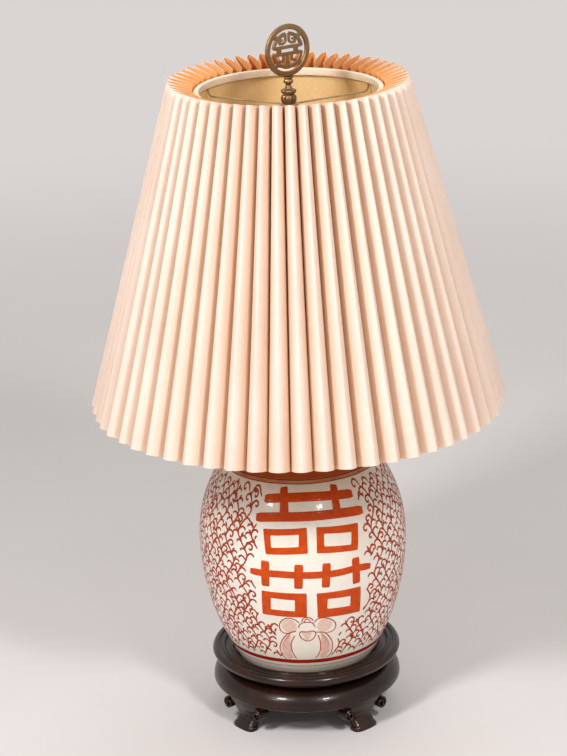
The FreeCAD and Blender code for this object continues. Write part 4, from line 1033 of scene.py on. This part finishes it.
@dataclass(frozen=True)
class Jar:
    """The glazed jar and everything painted on it."""

    level: float = 61.0
    foot_radius: float = 68.0
    radius: float = 103.2
    belly: float = 188.0
    shoulder_radius: float = 75.5
    shoulder: float = 271.0
    neck_radius: float = 47.0
    neck: float = 292.0
    mouth: float = 300.0
    neck_bend: float = 62.0
    wall: float = 5.0
    floor_thick: float = 7.0
    hole: float = 8.0
    lip: float = 3.0
    corner_ease: float = 0.9
    segments: int = 224
    thin_stroke: float = 3.0
    frame_lift: float = 0.12
    frame_ease: float = 1.2

    def side(self) -> np.ndarray:
        """The outside from foot to mouth: two large arcs that meet at the belly, then a tighter one."""
        lower = swell(self.radius - self.foot_radius, self.belly - self.level)
        upper = swell(self.radius - self.shoulder_radius, self.shoulder - self.belly)
        return outline([
            (self.foot_radius, self.level), (self.radius, self.belly, lower, 1),
            (self.shoulder_radius, self.shoulder, upper, 1), (self.neck_radius, self.neck, self.neck_bend, 1),
            (self.neck_radius, self.mouth),
        ], steps=48)

    def build(self) -> None:
        """Make the jar, then the painting: both faces alike, and vines all round."""
        self.pot()
        half_round = math.pi * self.radius
        for face, turn in (("front", 0.0), ("back", half_round)):
            for name, strokes, finish in (
                ("character", character(), IRON_RED),
                ("petal_lines", petal_lines(), PETAL_LINE),
                ("petal_hatching", petal_hatching(), PETAL_PINK),
            ):
                self.paint(f"painted_{name}_{face}", [stroke.shifted(turn) for stroke in strokes], finish)
            self.frames(f"painted_boxes_{face}", turn)
        self.paint("painted_vines", vines(half_round), VINE_RED)

    def pot(self) -> None:
        """The pot itself, with a wall of even thickness inside its side."""
        outside = self.side()
        slope = np.gradient(outside, axis=0)
        slope /= np.linalg.norm(slope, axis=1, keepdims=True)
        inside = outside - np.stack([slope[:, 1], -slope[:, 0]], axis=-1) * self.wall
        floor, ceiling = self.level + self.floor_thick, self.neck - self.lip
        inside = inside[(inside[:, 1] > floor) & (inside[:, 1] < ceiling)][::-1]
        bore = self.neck_radius - self.wall
        profile = np.concatenate([
            [(self.hole, self.level)], outside, [(bore, self.mouth), (bore, ceiling)], inside,
            [(inside[-1, 0] - self.lip, floor), (self.hole, floor)],
        ])
        skin = turned(eased(profile, self.corner_ease), segments=self.segments)
        glaze = Glaze("ivory glaze", bands=(
            (61.0, 70.0, Tone.FOOT_CREAM, Tone.IVORY),
            (74.4, 75.4, Tone.PETAL_PINK, Tone.SHOULDER_TAN),
            (79.0, 84.0, Tone.BAND_DEEP, Tone.BAND_RED),
            (268.6, 269.6, Tone.LINE_BROWN, Tone.BAND_RED),
            (269.6, 271.6, Tone.SHOULDER_TAN, Tone.SHOULDER_RUST),
            (271.6, 272.8, Tone.LINE_BROWN, Tone.BAND_DEEP),
            (272.8, 291.0, Tone.SHOULDER_RUST, Tone.IRON_DEEP),
        ))
        add_piece("jar_glazed", skin, glaze, "base", ("jar_body",))

    def on_side(self, flat: np.ndarray, lift: np.ndarray) -> np.ndarray:
        """Wrap flat places on the jar's side.

        A place (s, z) lies at the angle s / radius from -Y, at the side's radius for z, moved
        out along the side's normal by the lift.

        Args:
            flat: ... x 2, distance round the belly and height.
            lift: ... heights over the glaze.

        Returns:
            ... x 3 points.
        """
        side = self.side()
        slope = np.gradient(side, axis=0)
        slope /= np.linalg.norm(slope, axis=1, keepdims=True)
        height = flat[..., 1]
        out = np.interp(height, side[:, 1], slope[:, 1])
        rise = np.interp(height, side[:, 1], -slope[:, 0])
        radius = np.interp(height, side[:, 1], side[:, 0]) + out * lift
        angle = flat[..., 0] / self.radius
        return np.stack([radius * np.sin(angle), -radius * np.cos(angle), height + rise * lift], axis=-1)

    def ribbon(self, stroke: Stroke) -> Skin:
        """One stroke as a thin crowned ribbon whose underside lies in the glaze."""
        places = np.array(stroke.places, dtype=float)
        length = np.linalg.norm(np.diff(places, axis=0), axis=1).sum()
        thin = stroke.width < self.thin_stroke
        count = int(np.clip(length / (1.6 if thin else 2.2), 5, 130))
        path = smooth_line(places, count)
        along = np.gradient(path, axis=0)
        along /= np.maximum(np.linalg.norm(along, axis=1, keepdims=True), 1e-9)
        right = np.stack([along[:, 1], -along[:, 0]], axis=-1)
        t = np.linspace(0, 1, count)
        ends = np.minimum(1, np.minimum(stroke.start + t * 6, stroke.end + (1 - t) * 6))
        half = stroke.width / 2 * ends
        if thin:
            sides, heights = np.array([-1.0, 0, 1]), np.array([-0.02, stroke.lift, -0.02])
        else:
            sides = np.array([-1, -0.93, -0.5, 0, 0.5, 0.93, 1, 0.0])
            heights = CROWN * stroke.lift
        flat = path[:, None] + right[:, None] * (half[:, None] * sides)[..., None]
        points = self.on_side(flat, np.broadcast_to(heights, flat.shape[:2]))
        uv = np.stack(np.broadcast_arrays(
            (t * length / 10)[:, None], np.append(sides, sides[0])[None] * 0.5 + 0.5
        ), axis=-1)
        return grid_skin(points, wrap_columns=True, poles=(points[0].mean(axis=0), points[-1].mean(axis=0)), uv=uv)

    def paint(self, name: str, strokes: list[Stroke], finish: Finish) -> None:
        """Lay strokes on the jar as one piece."""
        skin = joined([self.ribbon(stroke) for stroke in strokes])
        add_piece(name, skin, finish, "base", crease=180.0)

    def frames(self, name: str, turn: float) -> None:
        """The four hollow boxes of the character, each a closed ribbon between two rectangles."""
        skins = []
        for outer, inner in BOXES:
            loops = []
            for ring in (inner, outer):
                corners = np.array(ring, dtype=float)[[3, 2, 1, 0]] + [turn, 0]
                middle = (corners[:1] + corners[-1:]) / 2
                edge = eased(np.concatenate([middle, corners]), self.frame_ease, steps=3)
                loops.append(np.concatenate([edge, edge[:1]]))
            marks = np.arange(len(loops[0]))
            index = np.linspace(0, marks[-1], 14 * marks[-1] + 1)[:-1]
            t = index / marks[-1]
            inner_line, outer_line = (
                np.stack([np.interp(index, marks, loop[:, axis]) for axis in (0, 1)], axis=-1) for loop in loops
            )
            share = np.array([0, 0.05, 0.3, 0.5, 0.7, 0.95, 1, 0.5])
            heights = CROWN * self.frame_lift
            flat = inner_line[:, None] * (1 - share)[:, None] + outer_line[:, None] * share[:, None]
            points = self.on_side(flat, np.broadcast_to(heights, flat.shape[:2]))
            uv = np.stack(np.broadcast_arrays(
                (np.append(t, 1) * 12)[:, None], np.append(share, 0)[None]
            ), axis=-1)
            skins.append(grid_skin(points, wrap_rows=True, wrap_columns=True, uv=uv))
        add_piece(name, joined(skins), IRON_RED, "base", crease=180.0)


BOXES = (
    (((-42.1, 228.9), (3.7, 231.3), (3.9, 206.5), (-38.1, 204.5)), ((-33.8, 223.1), (-4.6, 224.9),
        (-5.0, 213.3), (-32.6, 211.7))),
    (((13.6, 231.1), (59.8, 228.6), (55.4, 202.8), (12.5, 206.1)), ((21.1, 224.4), (50.4, 221.5),
        (48.4, 209.7), (20.3, 212.3))),
    (((-44.0, 165.8), (1.4, 164.9), (1.1, 137.5), (-45.8, 138.8)), ((-34.7, 158.6), (-10.5, 157.3),
        (-11.0, 145.0), (-35.8, 145.8))),
    (((11.1, 164.3), (58.0, 163.8), (59.4, 134.8), (12.0, 136.2)), ((22.3, 156.7), (46.6, 155.7),
        (46.6, 144.7), (22.0, 145.8))),
)


def character() -> list[Stroke]:
    """The long bars and short uprights of the double happiness character."""
    bars = [
        (((-44.9, 255.4), (-21.1, 257.5), (6.7, 258.2), (36.9, 257.0), (62.4, 255.1)), 8.0),
        (((-51.7, 238.3), (-25.5, 240.7), (6.1, 241.3), (38.3, 240.8), (69.2, 238.7)), 8.6),
        (((-55.1, 185.1), (-40.0, 184.8), (-25.5, 185.2), (-6.7, 184.5), (7.1, 184.0), (20.9, 183.7), (34.4, 183.6),
          (52.3, 184.4), (69.7, 182.5)), 7.4),
    ]
    uprights = [
        (((-22.6, 266.5), (-21.2, 256.1), (-20.2, 242.6)), 10.0),
        (((40.8, 265.9), (38.9, 254.8), (38.3, 242.6)), 9.4),
        (((-38.8, 198.0), (-39.3, 171.2)), 8.6),
        (((-5.4, 195.7), (-6.5, 170.2)), 8.6),
        (((21.8, 195.3), (20.3, 169.9)), 8.4),
        (((52.1, 195.7), (52.8, 168.2)), 8.6),
    ]
    strokes = [Stroke(places, width, 0.75, 0.75, 0.12) for places, width in bars]
    strokes += [Stroke(places, width, 0.85, 0.85, 0.17) for places, width in uprights]
    return strokes


HOOK = ((0, 0), (1.9, 2.9), (4.7, 4.0), (7.2, 2.7), (7.9, 0.6))
CURL = ((0, 0), (2.2, 3.9), (5.6, 5.3), (8.5, 3.2), (8.0, 0.3), (5.8, -0.4), (5.3, 1.6))
TWIG = ((1.9, 2.9), (2.3, 5.0), (4.4, 6.8))
VINE_SEED = 11
VINE_SWAY = 6.0
VINE_WAVE = 46.0
VINE_TOP = 267.0
STEM_WIDTH = 2.1
SHOOT_WIDTH = 2.4
KEPT_FREE = (
    (-48, 244, 66, 264), (-31, 242, 48, 270), (-55, 233, 73, 246), (-46, 198, 64, 234),
    (-58, 178, 73, 192), (-47, 164, 61, 200), (-50, 131, 63, 168),
)


def unpainted(places: np.ndarray, half_round: float) -> np.ndarray:
    """Whether places on the jar are clear of the character's boxes and the flower's oval.

    Args:
        places: ... x 2, distance round the belly and height.
        half_round: distance between the middles of the two like faces.

    Returns:
        ... true where a vine may grow.
    """
    along = (places[..., 0] + half_round / 2) % half_round - half_round / 2
    height = places[..., 1]
    taken = ((along - 0.5) / 35) ** 2 + ((height - 109) / 29) ** 2 < 1
    for left, low, right, high in KEPT_FREE:
        taken |= (along > left) & (along < right) & (height > low) & (height < high)
    return ~taken


def vines(half_round: float, stems: int = 40, pitch: float = 4.1) -> list[Stroke]:
    """Wavy stems all round the jar, with hooks, curls and twigs on alternate sides.

    At height z a stem lies at its base + 6 sin(2 pi z / 46 + phase). Each shoot is one of
    three shapes, scaled by a seeded size and left out where it would touch the faces.

    Args:
        half_round: distance between the middles of the two faces.
        stems: how many stems go round.
        pitch: height from one shoot to the next.

    Returns:
        The strokes.
    """
    random = np.random.default_rng(VINE_SEED)
    heights = np.arange(87.0, 266.5, 1.5)
    roots = np.arange(88.0, 262.0, pitch)

    def sway(levels: np.ndarray) -> np.ndarray:
        """Places of the present stem at given heights."""
        return np.stack([base + VINE_SWAY * np.sin(FULL_TURN * levels / VINE_WAVE + phase), levels], axis=-1)

    strokes = []
    for base in np.arange(stems) * 2 * half_round / stems:
        phase = random.uniform(-0.6, 0.6)
        line = sway(heights)
        edges = np.flatnonzero(np.diff(np.concatenate([[0], unpainted(line, half_round), [0]])))
        for start, stop in edges.reshape(-1, 2):
            if stop - start > 4:
                strokes.append(Stroke(tuple(map(tuple, line[start:stop:2])), STEM_WIDTH, 0.5, 0.4, 0.08))
        for number, root in enumerate(sway(roots)):
            size = random.uniform(0.85, 1.15)
            flip = np.array([size if number % 2 else -size, size])
            shapes = [CURL if random.random() < 0.3 else HOOK] + [TWIG] * int(random.random() < 0.5)
            for shape in shapes:
                places = np.array(shape) * flip + root
                if unpainted(places, half_round).all() and places[:, 1].max() < VINE_TOP:
                    strokes.append(Stroke(tuple(map(tuple, places)), SHOOT_WIDTH, 0.9, 0.3, 0.1))
    return strokes


OUTLINE_WIDTH = 1.5
CRESCENT_WIDTH = 1.2
HATCH_WIDTH = 0.85


def petal_lines() -> list[Stroke]:
    """Outlines of the flower below the character."""
    lines = [
        ((-7.2, 131.0), (-11.4, 134.8), (-18.3, 136.8), (-24.6, 134.2), (-28.5, 128.4), (-28.3, 122.4),
            (-24.9, 118.7), (-17.5, 117.9)),
        ((8.5, 131.0), (11.9, 134.8), (18.8, 135.8), (27.0, 132.5), (31.6, 127.0), (31.2, 121.0),
            (27.3, 117.9), (21.7, 117.5)),
        ((-4.5, 132.1), (-3.2, 136.1), (0.7, 137.5), (4.9, 136.5), (7.6, 133.0)),
        ((-2.4, 132.1), (-0.6, 135.1), (1.5, 135.6), (3.7, 134.1), (4.1, 132.1)),
        ((-8.2, 125.0), (-7.2, 128.6), (-3.7, 131.1), (1.5, 131.7), (6.8, 130.6), (9.5, 125.0)),
        ((-7.9, 117.9), (-5.8, 112.8), (0.7, 108.7), (7.2, 111.2), (10.2, 117.8), (7.0, 121.0), (0.7, 120.1),
            (-5.6, 120.5), (-7.9, 117.9)),
        ((-11.0, 121.4), (-20.3, 117.7), (-27.7, 109.1), (-31.9, 99.0), (-30.5, 89.3), (-26.0, 84.7)),
        ((-13.0, 115.6), (-17.3, 107.0), (-18.0, 98.4), (-15.7, 89.7), (-13.0, 85.2)),
        ((10.6, 119.3), (19.9, 117.7), (27.3, 109.2), (30.4, 100.3), (29.8, 90.5), (24.5, 84.7)),
        ((12.6, 115.7), (15.4, 107.1), (16.1, 97.4), (14.1, 89.8), (10.3, 85.2)),
    ]
    return [Stroke(places, OUTLINE_WIDTH, 0.9, 0.5, 0.09) for places in lines]


def petal_hatching() -> list[Stroke]:
    """Pink hatching: fans in the two crescents and rounds in the two upper petals.

    In a crescent, stroke k runs from the inner edge at height z to a place k of the way out
    and 4 mm lower. In a petal the strokes are chords of an ellipse.
    """
    strokes = []
    for side, inner in ((-1, -17.0), (1, 15.2)):
        for height in np.arange(87.0, 118.5, 1.55):
            bow = max(0.0, 1 - ((height - 101) / 18) ** 2)
            near = inner + side * 1.6 * bow
            far = near + side * (2.5 + 9.5 * bow)
            middle = ((near + far) / 2, height - 1.0)
            strokes.append(Stroke(((near, height), middle, (far, height - 3.2)), CRESCENT_WIDTH, 0.9, 0.2, 0.05))
        centre = 18.8 * side + 0.9
        for height in np.arange(119.5, 135.0, 1.5):
            half = 8.6 * math.sqrt(max(0.0, 1 - ((height - 127) / 8.5) ** 2))
            chord = ((centre - half, height - side), (centre, height + 0.4), (centre + half, height + side))
            strokes.append(Stroke(chord, HATCH_WIDTH, 0.5, 0.4, 0.05))
    for height in np.arange(110.5, 120.0, 1.4):
        half = 2.0 + 0.55 * (height - 110)
        chord = ((0.8 - half, height + 1), (0.8, height), (0.8 + half, height + 1))
        strokes.append(Stroke(chord, HATCH_WIDTH, 0.5, 0.4, 0.05))
    return strokes


# ---------------------------------------------------------------------------
# Pleated shade
# ---------------------------------------------------------------------------


@dataclass(frozen=True)
class Shade:
    """The pleated cover, the stiff liner inside it and the tapes on its wires."""

    level: float = 329.46
    height: float = 321.6
    pleats: int = 56
    tip_bottom: float = 203.0
    tip_top: float = 114.8
    valley_bottom: float = 179.4
    valley_top: float = 89.0
    sheet: float = 0.5
    ridge: float = 0.24
    ridge_round: float = 0.05
    crease_wall: float = 2.4
    square_cut: float = 0.264
    liner_height: float = 310.6
    liner_bottom: float = 177.0
    liner_top: float = 89.5
    liner_wall: float = 0.6
    tape_depth: float = 6.5
    levels: int = 24
    wander: float = 0.05
    uneven: float = 0.8
    seed: int = 7

    def build(self) -> None:
        """Make cover, liner and tapes."""
        self.cover()
        self.liner()
        self.tapes()

    def cover(self) -> None:
        """The pleats: folded paper with broad crowned outsides and narrow deep creases.

        With u going from 0 at a fold's tip to 1 in the crease beside it, the inner face lies at
        valley + (tip - valley) w, where w = 1 - a (sqrt(u^2 + e^2) - e) - (1 - a) u^3, and tip
        and valley run straight from bottom to top. The outer face lies further out by the
        sheet's thickness times sqrt(1 + slope^2), the slope being that of w across the fold.
        The sheet's ends are square to its slanting folds, so every place slides down its fold by
        its depth behind the tip times the slant's tangent.
        Each fold has a small seeded reach and wander of its own.
        """
        random = np.random.default_rng(self.seed)
        half = np.array([0, 0.05, 0.12, 0.25, 0.42, 0.6, 0.74, 0.84, 0.91, 0.96])
        fold = np.concatenate([half, [1.0], 2 - half[:0:-1]])
        phase = (2 * np.arange(self.pleats)[:, None] + fold).ravel()
        u = np.abs((phase + 1) % 2 - 1)
        ease = np.sqrt(u**2 + self.ridge_round**2)
        wave = 1 - self.ridge * (ease - self.ridge_round) - (1 - self.ridge) * u**3
        steep = self.ridge * u / ease + 3 * (1 - self.ridge) * u**2
        marks = np.arange(2 * self.pleats + 1)
        wander, reach = (
            np.interp(phase, marks, np.append(steps, steps[0]))
            for steps in (random.normal(0, share, 2 * self.pleats) for share in (self.wander, self.uneven))
        )
        count = self.levels
        rise = np.linspace(0, 1, count)
        rows = np.concatenate([rise, rise[::-1]])[:, None]
        outside = (np.arange(2 * count) < count)[:, None]
        tip = self.tip_bottom + (self.tip_top - self.tip_bottom) * rows - self.sheet
        valley = self.valley_bottom + (self.valley_top - self.valley_bottom) * rows
        slope = (tip - valley) * steep * self.pleats / (math.pi * tip)
        thick = np.minimum(self.sheet * np.sqrt(1 + slope**2), self.crease_wall)
        radius = valley + (tip - valley) * wave + reach * (1 - 0.5 * rows) * wave**2 + outside * thick
        angle = -math.pi / 2 + math.pi * (phase + wander * (1 - 0.5 * rows)) / self.pleats
        drop = (tip + self.sheet - radius) * self.square_cut
        height = self.level + self.height * rows - drop
        radius = radius + drop * (self.valley_bottom - self.valley_top) / self.height
        points = np.stack([radius * np.cos(angle), radius * np.sin(angle), height], axis=-1)
        # U across each fold also sets where the front paper's painted crease shade falls.
        uv = np.stack(np.broadcast_arrays(np.append(u, u[0])[None], np.append(rows, 0.0)[:, None]), axis=-1)
        skin = grid_skin(points, wrap_rows=True, wrap_columns=True, uv=uv)
        quad_row = np.repeat(np.arange(2 * count), len(phase))
        choice = ((quad_row >= count) & (quad_row < 2 * count - 1)).astype(int)
        add_piece("shade_pleated_cover", skin, [PLEAT_FRONT, PLEAT_BACK], "shade", ("shade_pleats",),
                  choice, crease=60.0)

    @property
    def liner_slope(self) -> float:
        """How much the liner narrows for each length it rises."""
        return (self.liner_bottom - self.liner_top) / self.liner_height

    def wall(self, low: float, high: float, out: float, thick: float) -> np.ndarray:
        """Profile of a thin cone that follows the liner's slope between two heights."""
        rises = np.linspace(low, high, 24)
        outside = np.stack([self.liner_bottom - self.liner_slope * rises + out, self.level + rises], axis=-1)
        return np.concatenate([outside, (outside - [thick, 0])[::-1]])

    def liner(self) -> None:
        """The stiff cone."""
        profile = self.wall(0.0, self.liner_height, 0.0, self.liner_wall * 1.04)
        add_piece("shade_liner_cone", turned(profile, 192), LINER, "shade", ("shade_liner",))

    def tapes(self) -> None:
        """The tapes folded over both edges of the liner and their wires."""
        slope, depth = self.liner_slope, self.tape_depth
        for name, node, edge, turn in (
            ("shade_top_tape_folded", "shade_top_tape", self.liner_height, 1),
            ("shade_bottom_tape_folded", "shade_bottom_tape", 0.0, -1),
        ):
            centre = self.liner_bottom - slope * edge
            shape = np.array([(0.55, -depth), (0.6, 0.2), (0.2, 0.62), (-3.3, 0.62), (-4.1, 0.2), (-4.2, -depth),
                              (-3.75, -depth), (-3.65, -0.1), (-3.1, 0.1), (-0.2, 0.1), (0.12, -0.2), (0.1, -depth)])
            shape = shape * [1, turn]
            radius = centre + shape[:, 0] - slope * shape[:, 1]
            profile = np.stack([radius, self.level + edge + shape[:, 1]], axis=-1)
            if turn < 0:
                profile = profile[::-1]
            add_piece(name, turned(eased(profile, 0.25, steps=2), 192), TAPE, "shade", (node,))


# ---------------------------------------------------------------------------
# Finial
# ---------------------------------------------------------------------------


@dataclass(frozen=True)
class Finial:
    """The bronze finial: lobed knob, petalled collar, beaded neck and pierced medallion."""

    level: float = 626.06
    turn: float = 34.0
    medal_radius: float = 25.1
    medal_level: float = 676.96

    def build(self) -> None:
        """Make the four pieces."""
        base = outline([
            (0, 6.9), (3.3, 6.9), (3.3, 0), (5.3, 0), (6.6, 1.4, 1.6, 1), (7.0, 4.5, 12.0, 1), (6.5, 7.6, 9.0, 1),
            (5.3, 8.7, 1.6, 1), (4.9, 9.4), (0, 9.4),
        ], steps=8)
        self.turned_piece("finial_base_lobed", "finial_base", base, self.level, 10, {1.4: 0.05, 4.5: 0.07, 7.6: 0.05})
        collar = outline([
            (0, 0), (5.2, 0), (6.6, 1.2, 1.6, 1), (6.8, 2.8, 8.0, 1), (6.3, 4.0, 1.3, 1), (4.6, 4.5),
            (3.4, 5.4, 1.6, -1), (3.2, 6.6), (0, 6.6),
        ], steps=8)
        level = self.level + 9.4
        self.turned_piece("finial_collar_petalled", "finial_collar", collar, level, 10, {1.2: 0.05, 2.8: 0.08,
            4.0: 0.04})
        neck = outline([
            (0, 0), (3.4, 0), (2.5, 1.5, 2.0, -1), (2.6, 2.8), (4.1, 3.7), (4.4, 5.5, 4.0, 1), (3.9, 7.0, 3.0, 1),
            (3.4, 7.4), (3.9, 8.0), (4.8, 9.0, 1.8, -1), (4.8, 9.8), (0, 9.8),
        ], steps=8)
        self.turned_piece("finial_neck_beaded", "finial_neck", neck, level + 6.6, 8, {3.7: 0.04, 5.5: 0.07, 7.0: 0.03})
        self.medallion()

    def turned_piece(
        self, name: str, node: str, profile: np.ndarray, level: float, lobes: int, shares: dict[float, float]
    ) -> None:
        """Turn one bronze piece with lobes that fade to nothing at its ends.

        Args:
            name: the piece's name.
            node: the CAD node it stands for.
            profile: (radius, height) from the piece's own level.
            level: that level.
            lobes: how many lobes go round.
            shares: height to the lobes' depth as a share of the radius.
        """
        heights = np.array([0.0, *shares, profile[:, 1].max()]) + level
        depths = np.array([0.0, *shares.values(), 0.0])
        skin = turned(eased(profile, 0.3, closed=False) + [0, level], 160, False, (lobes, (heights, depths)))
        add_piece(name, skin, BRONZE, "finial", (node,))

    def medallion(self) -> None:
        """The pierced disc with a round longevity character, built of bars in its own plane."""
        outer = self.medal_radius - 2.6
        bars = [flat_bar(circle(outer), 5.2, 3.0, 0.8, closed=True)]
        for start, end in ((9, 82), (98, 171), (189, 351)):
            bars.append(flat_bar(circle(15.9, start, end, 48), 3.6, 2.3, 0.5))
        for angle in (45, 135, 225, 315):
            heading = np.array([math.cos(math.radians(angle)), math.sin(math.radians(angle))])
            bars.append(flat_bar(np.linspace(16.8, 21.0, 4)[:, None] * heading, 4.6, 2.2, 0.4))
        hook = ((2.0, 16.2), (2.0, 9.0), (4.4, 6.9), (8.8, 6.9), (8.8, 9.6), (5.6, 10.6))
        lines = [
            (((-15.6, 3.2), (15.6, 3.2)), 3.2), (((-15.6, -3.2), (15.6, -3.2)), 3.2),
            (((7.4, 0), (11.8, 0)), 4.4), (((-11.8, 0), (-7.4, 0)), 4.4),
            *((tuple((side * x, y) for x, y in hook), 2.5) for side in (1, -1)),
            (((0, -4), (0, -16.5)), 3.0),
            *((((side * 4.8, -4.2), (side * 4.8, -9.8), (side * 9.4, -9.8)), 2.5) for side in (1, -1)),
        ]
        for places, width in lines:
            path = eased(np.array(places, dtype=float), 0.9, closed=False)
            bars.append(flat_bar(path, width, 2.2, 0.4))
        angle = math.radians(self.turn)
        axes = np.array([[math.cos(angle), math.sin(angle), 0], [0, 0, 1], [math.sin(angle), -math.cos(angle), 0]])
        skin = joined(bars).moved(axes, np.array([0, 0, self.medal_level]))
        add_piece("finial_medallion_pierced", skin, BRONZE, "finial", ("finial_medallion",), crease=30.0)


# ---------------------------------------------------------------------------
# Fittings that stay as the model has them
# ---------------------------------------------------------------------------


@dataclass(frozen=True)
class Fittings:
    """Metal, card and glass parts whose shapes come straight from the model."""

    finishes: dict = field(default_factory=lambda: {
        BRASS: ("vase_cap", "brass_neck", "holder_cap", "holder_shell", "screw_shell", "centre_contact",
                "terminal_screw_right", "harp_saddle", "harp_bow", "harp_stud", "harp_sleeve_left",
                "harp_sleeve_right"),
        STEEL: ("threaded_pipe", "base_washer", "base_nut", "terminal_screw_left", "switch_stem", "bulb_cap",
                "bulb_contact"),
        BLACK: ("holder_core", "bulb_insulator", "cord_bushing", "switch_knob"),
        CARD: ("holder_liner",),
        PAINTED_WIRE: ("shade_spider", "shade_top_ring", "shade_bottom_ring"),
        FROSTED_GLASS: ("bulb_glass",),
        STEM_GLASS: ("bulb_stem",),
    })

    def build(self) -> None:
        """Dress every remaining node."""
        for finish, nodes in self.finishes.items():
            for node in nodes:
                dress_node(node, finish)


# ---------------------------------------------------------------------------
# Setting
# ---------------------------------------------------------------------------


@dataclass(frozen=True)
class Studio:
    """Floor, soft lamps, world and camera."""

    camera_place: tuple[float, float, float] = (-0.0140, -2.4071, 1.1904)
    pitch: float = 19.228
    roll: float = -1.937
    lens: float = 123.66
    floor_half: float = 6.0
    sky: float = 0.38
    lamp_aim: float = 0.35

    def build(self) -> None:
        """Set the studio up."""
        self.floor()
        self.lamps()
        self.world()
        self.camera()
        settings = bpy.context.scene.view_settings
        settings.view_transform = "Standard"

    def floor(self) -> None:
        """A level sheet at the feet's height."""
        half = self.floor_half
        mesh = bpy.data.meshes.new("floor")
        mesh.from_pydata([(-half, -half, 0), (half, -half, 0), (half, half, 0), (-half, half, 0)], [], [(0, 1, 2, 3)])
        mesh.materials.append(Ground("pale floor").material())
        floor = bpy.data.objects.new("floor", mesh)
        bpy.context.scene.collection.objects.link(floor)

    def lamps(self) -> None:
        """Soft boxes left and right of the camera, two small glints below them, and a weak box behind."""
        for name, azimuth, elevation, distance, size, watts in (
            ("soft_box_left", -38.0, 39.0, 2.3, (0.36, 0.36), 29.0),
            ("soft_box_right", 26.0, 39.0, 2.3, (0.3, 0.3), 22.0),
            ("glint_left", -42.0, 25.5, 2.0, (0.2, 0.1), 2.2),
            ("glint_right", 22.0, 25.5, 2.0, (0.2, 0.1), 2.2),
            ("soft_box_back", 165.0, 55.0, 2.6, (1.2, 1.2), 14.0),
        ):
            turn, rise = math.radians(azimuth), math.radians(elevation)
            heading = np.array([math.sin(turn) * math.cos(rise), -math.cos(turn) * math.cos(rise), math.sin(rise)])
            light = bpy.data.lights.new(name, "AREA")
            light.shape = "RECTANGLE"
            light.size, light.size_y = size
            light.energy = watts
            lamp = bpy.data.objects.new(name, light)
            lamp.matrix_world = looking(np.array([0, 0, self.lamp_aim]) + heading * distance, -heading)
            bpy.context.scene.collection.objects.link(lamp)

    def world(self) -> None:
        """Even light from all round; the eye, mirrors and glass see the backdrop's colour."""
        world = bpy.data.worlds.new("studio")
        world.use_nodes = True
        world.node_tree.nodes.clear()
        wiring = Wiring(world.node_tree)
        path = wiring.node("ShaderNodeLightPath")
        seen = wiring.math("MAXIMUM", path.outputs["Is Camera Ray"], path.outputs["Is Glossy Ray"])
        seen = wiring.math("MAXIMUM", seen, path.outputs["Is Transmission Ray"])
        soft = wiring.node("ShaderNodeBackground", {"Color": (1.0, 0.98, 0.95, 1.0), "Strength": self.sky})
        shown = wiring.node("ShaderNodeBackground", {"Color": Tone.BACKDROP.rgba, "Strength": 1.0})
        mixed = wiring.node("ShaderNodeMixShader", {0: seen, 1: soft.outputs[0], 2: shown.outputs[0]})
        wiring.node("ShaderNodeOutputWorld", {"Surface": mixed.outputs[0]})
        bpy.context.scene.world = world

    def camera(self) -> None:
        """The camera at the photograph's place, higher than the lamp and looking down."""
        pitch, roll = math.radians(self.pitch), math.radians(self.roll)
        forward = np.array([0, math.cos(pitch), -math.sin(pitch)])
        up = np.array([0, math.sin(pitch), math.cos(pitch)])
        right = np.array([1.0, 0, 0])
        side = math.cos(roll) * right + math.sin(roll) * up
        top = -math.sin(roll) * right + math.cos(roll) * up
        view = bpy.data.cameras.new("camera")
        view.sensor_width = 36.0
        view.lens = self.lens
        view.clip_start, view.clip_end = 0.05, 50.0
        camera = bpy.data.objects.new("camera", view)
        place = np.eye(4)
        place[:3, 0], place[:3, 1], place[:3, 2], place[:3, 3] = side, top, -forward, self.camera_place
        camera.matrix_world = Matrix(place.tolist())
        bpy.context.scene.collection.objects.link(camera)
        bpy.context.scene.camera = camera


def looking(place: np.ndarray, heading: np.ndarray) -> Matrix:
    """A matrix at a place whose -Z axis points along a heading, with its X axis level."""
    back = -heading / np.linalg.norm(heading)
    side = np.cross([0, 0, 1], back)
    side /= np.linalg.norm(side)
    matrix = np.eye(4)
    matrix[:3, 0], matrix[:3, 1], matrix[:3, 2], matrix[:3, 3] = side, np.cross(back, side), back, place
    return Matrix(matrix.tolist())


def main() -> None:
    """Build every sub-assembly in order."""
    logging.basicConfig(level=logging.INFO, format="%(message)s")
    for part in (Stand(), Jar(), Shade(), Finial(), Fittings(), Studio()):
        part.build()
        log.info("%s is done", type(part).__name__)


if __name__ == "__main__":
    main()
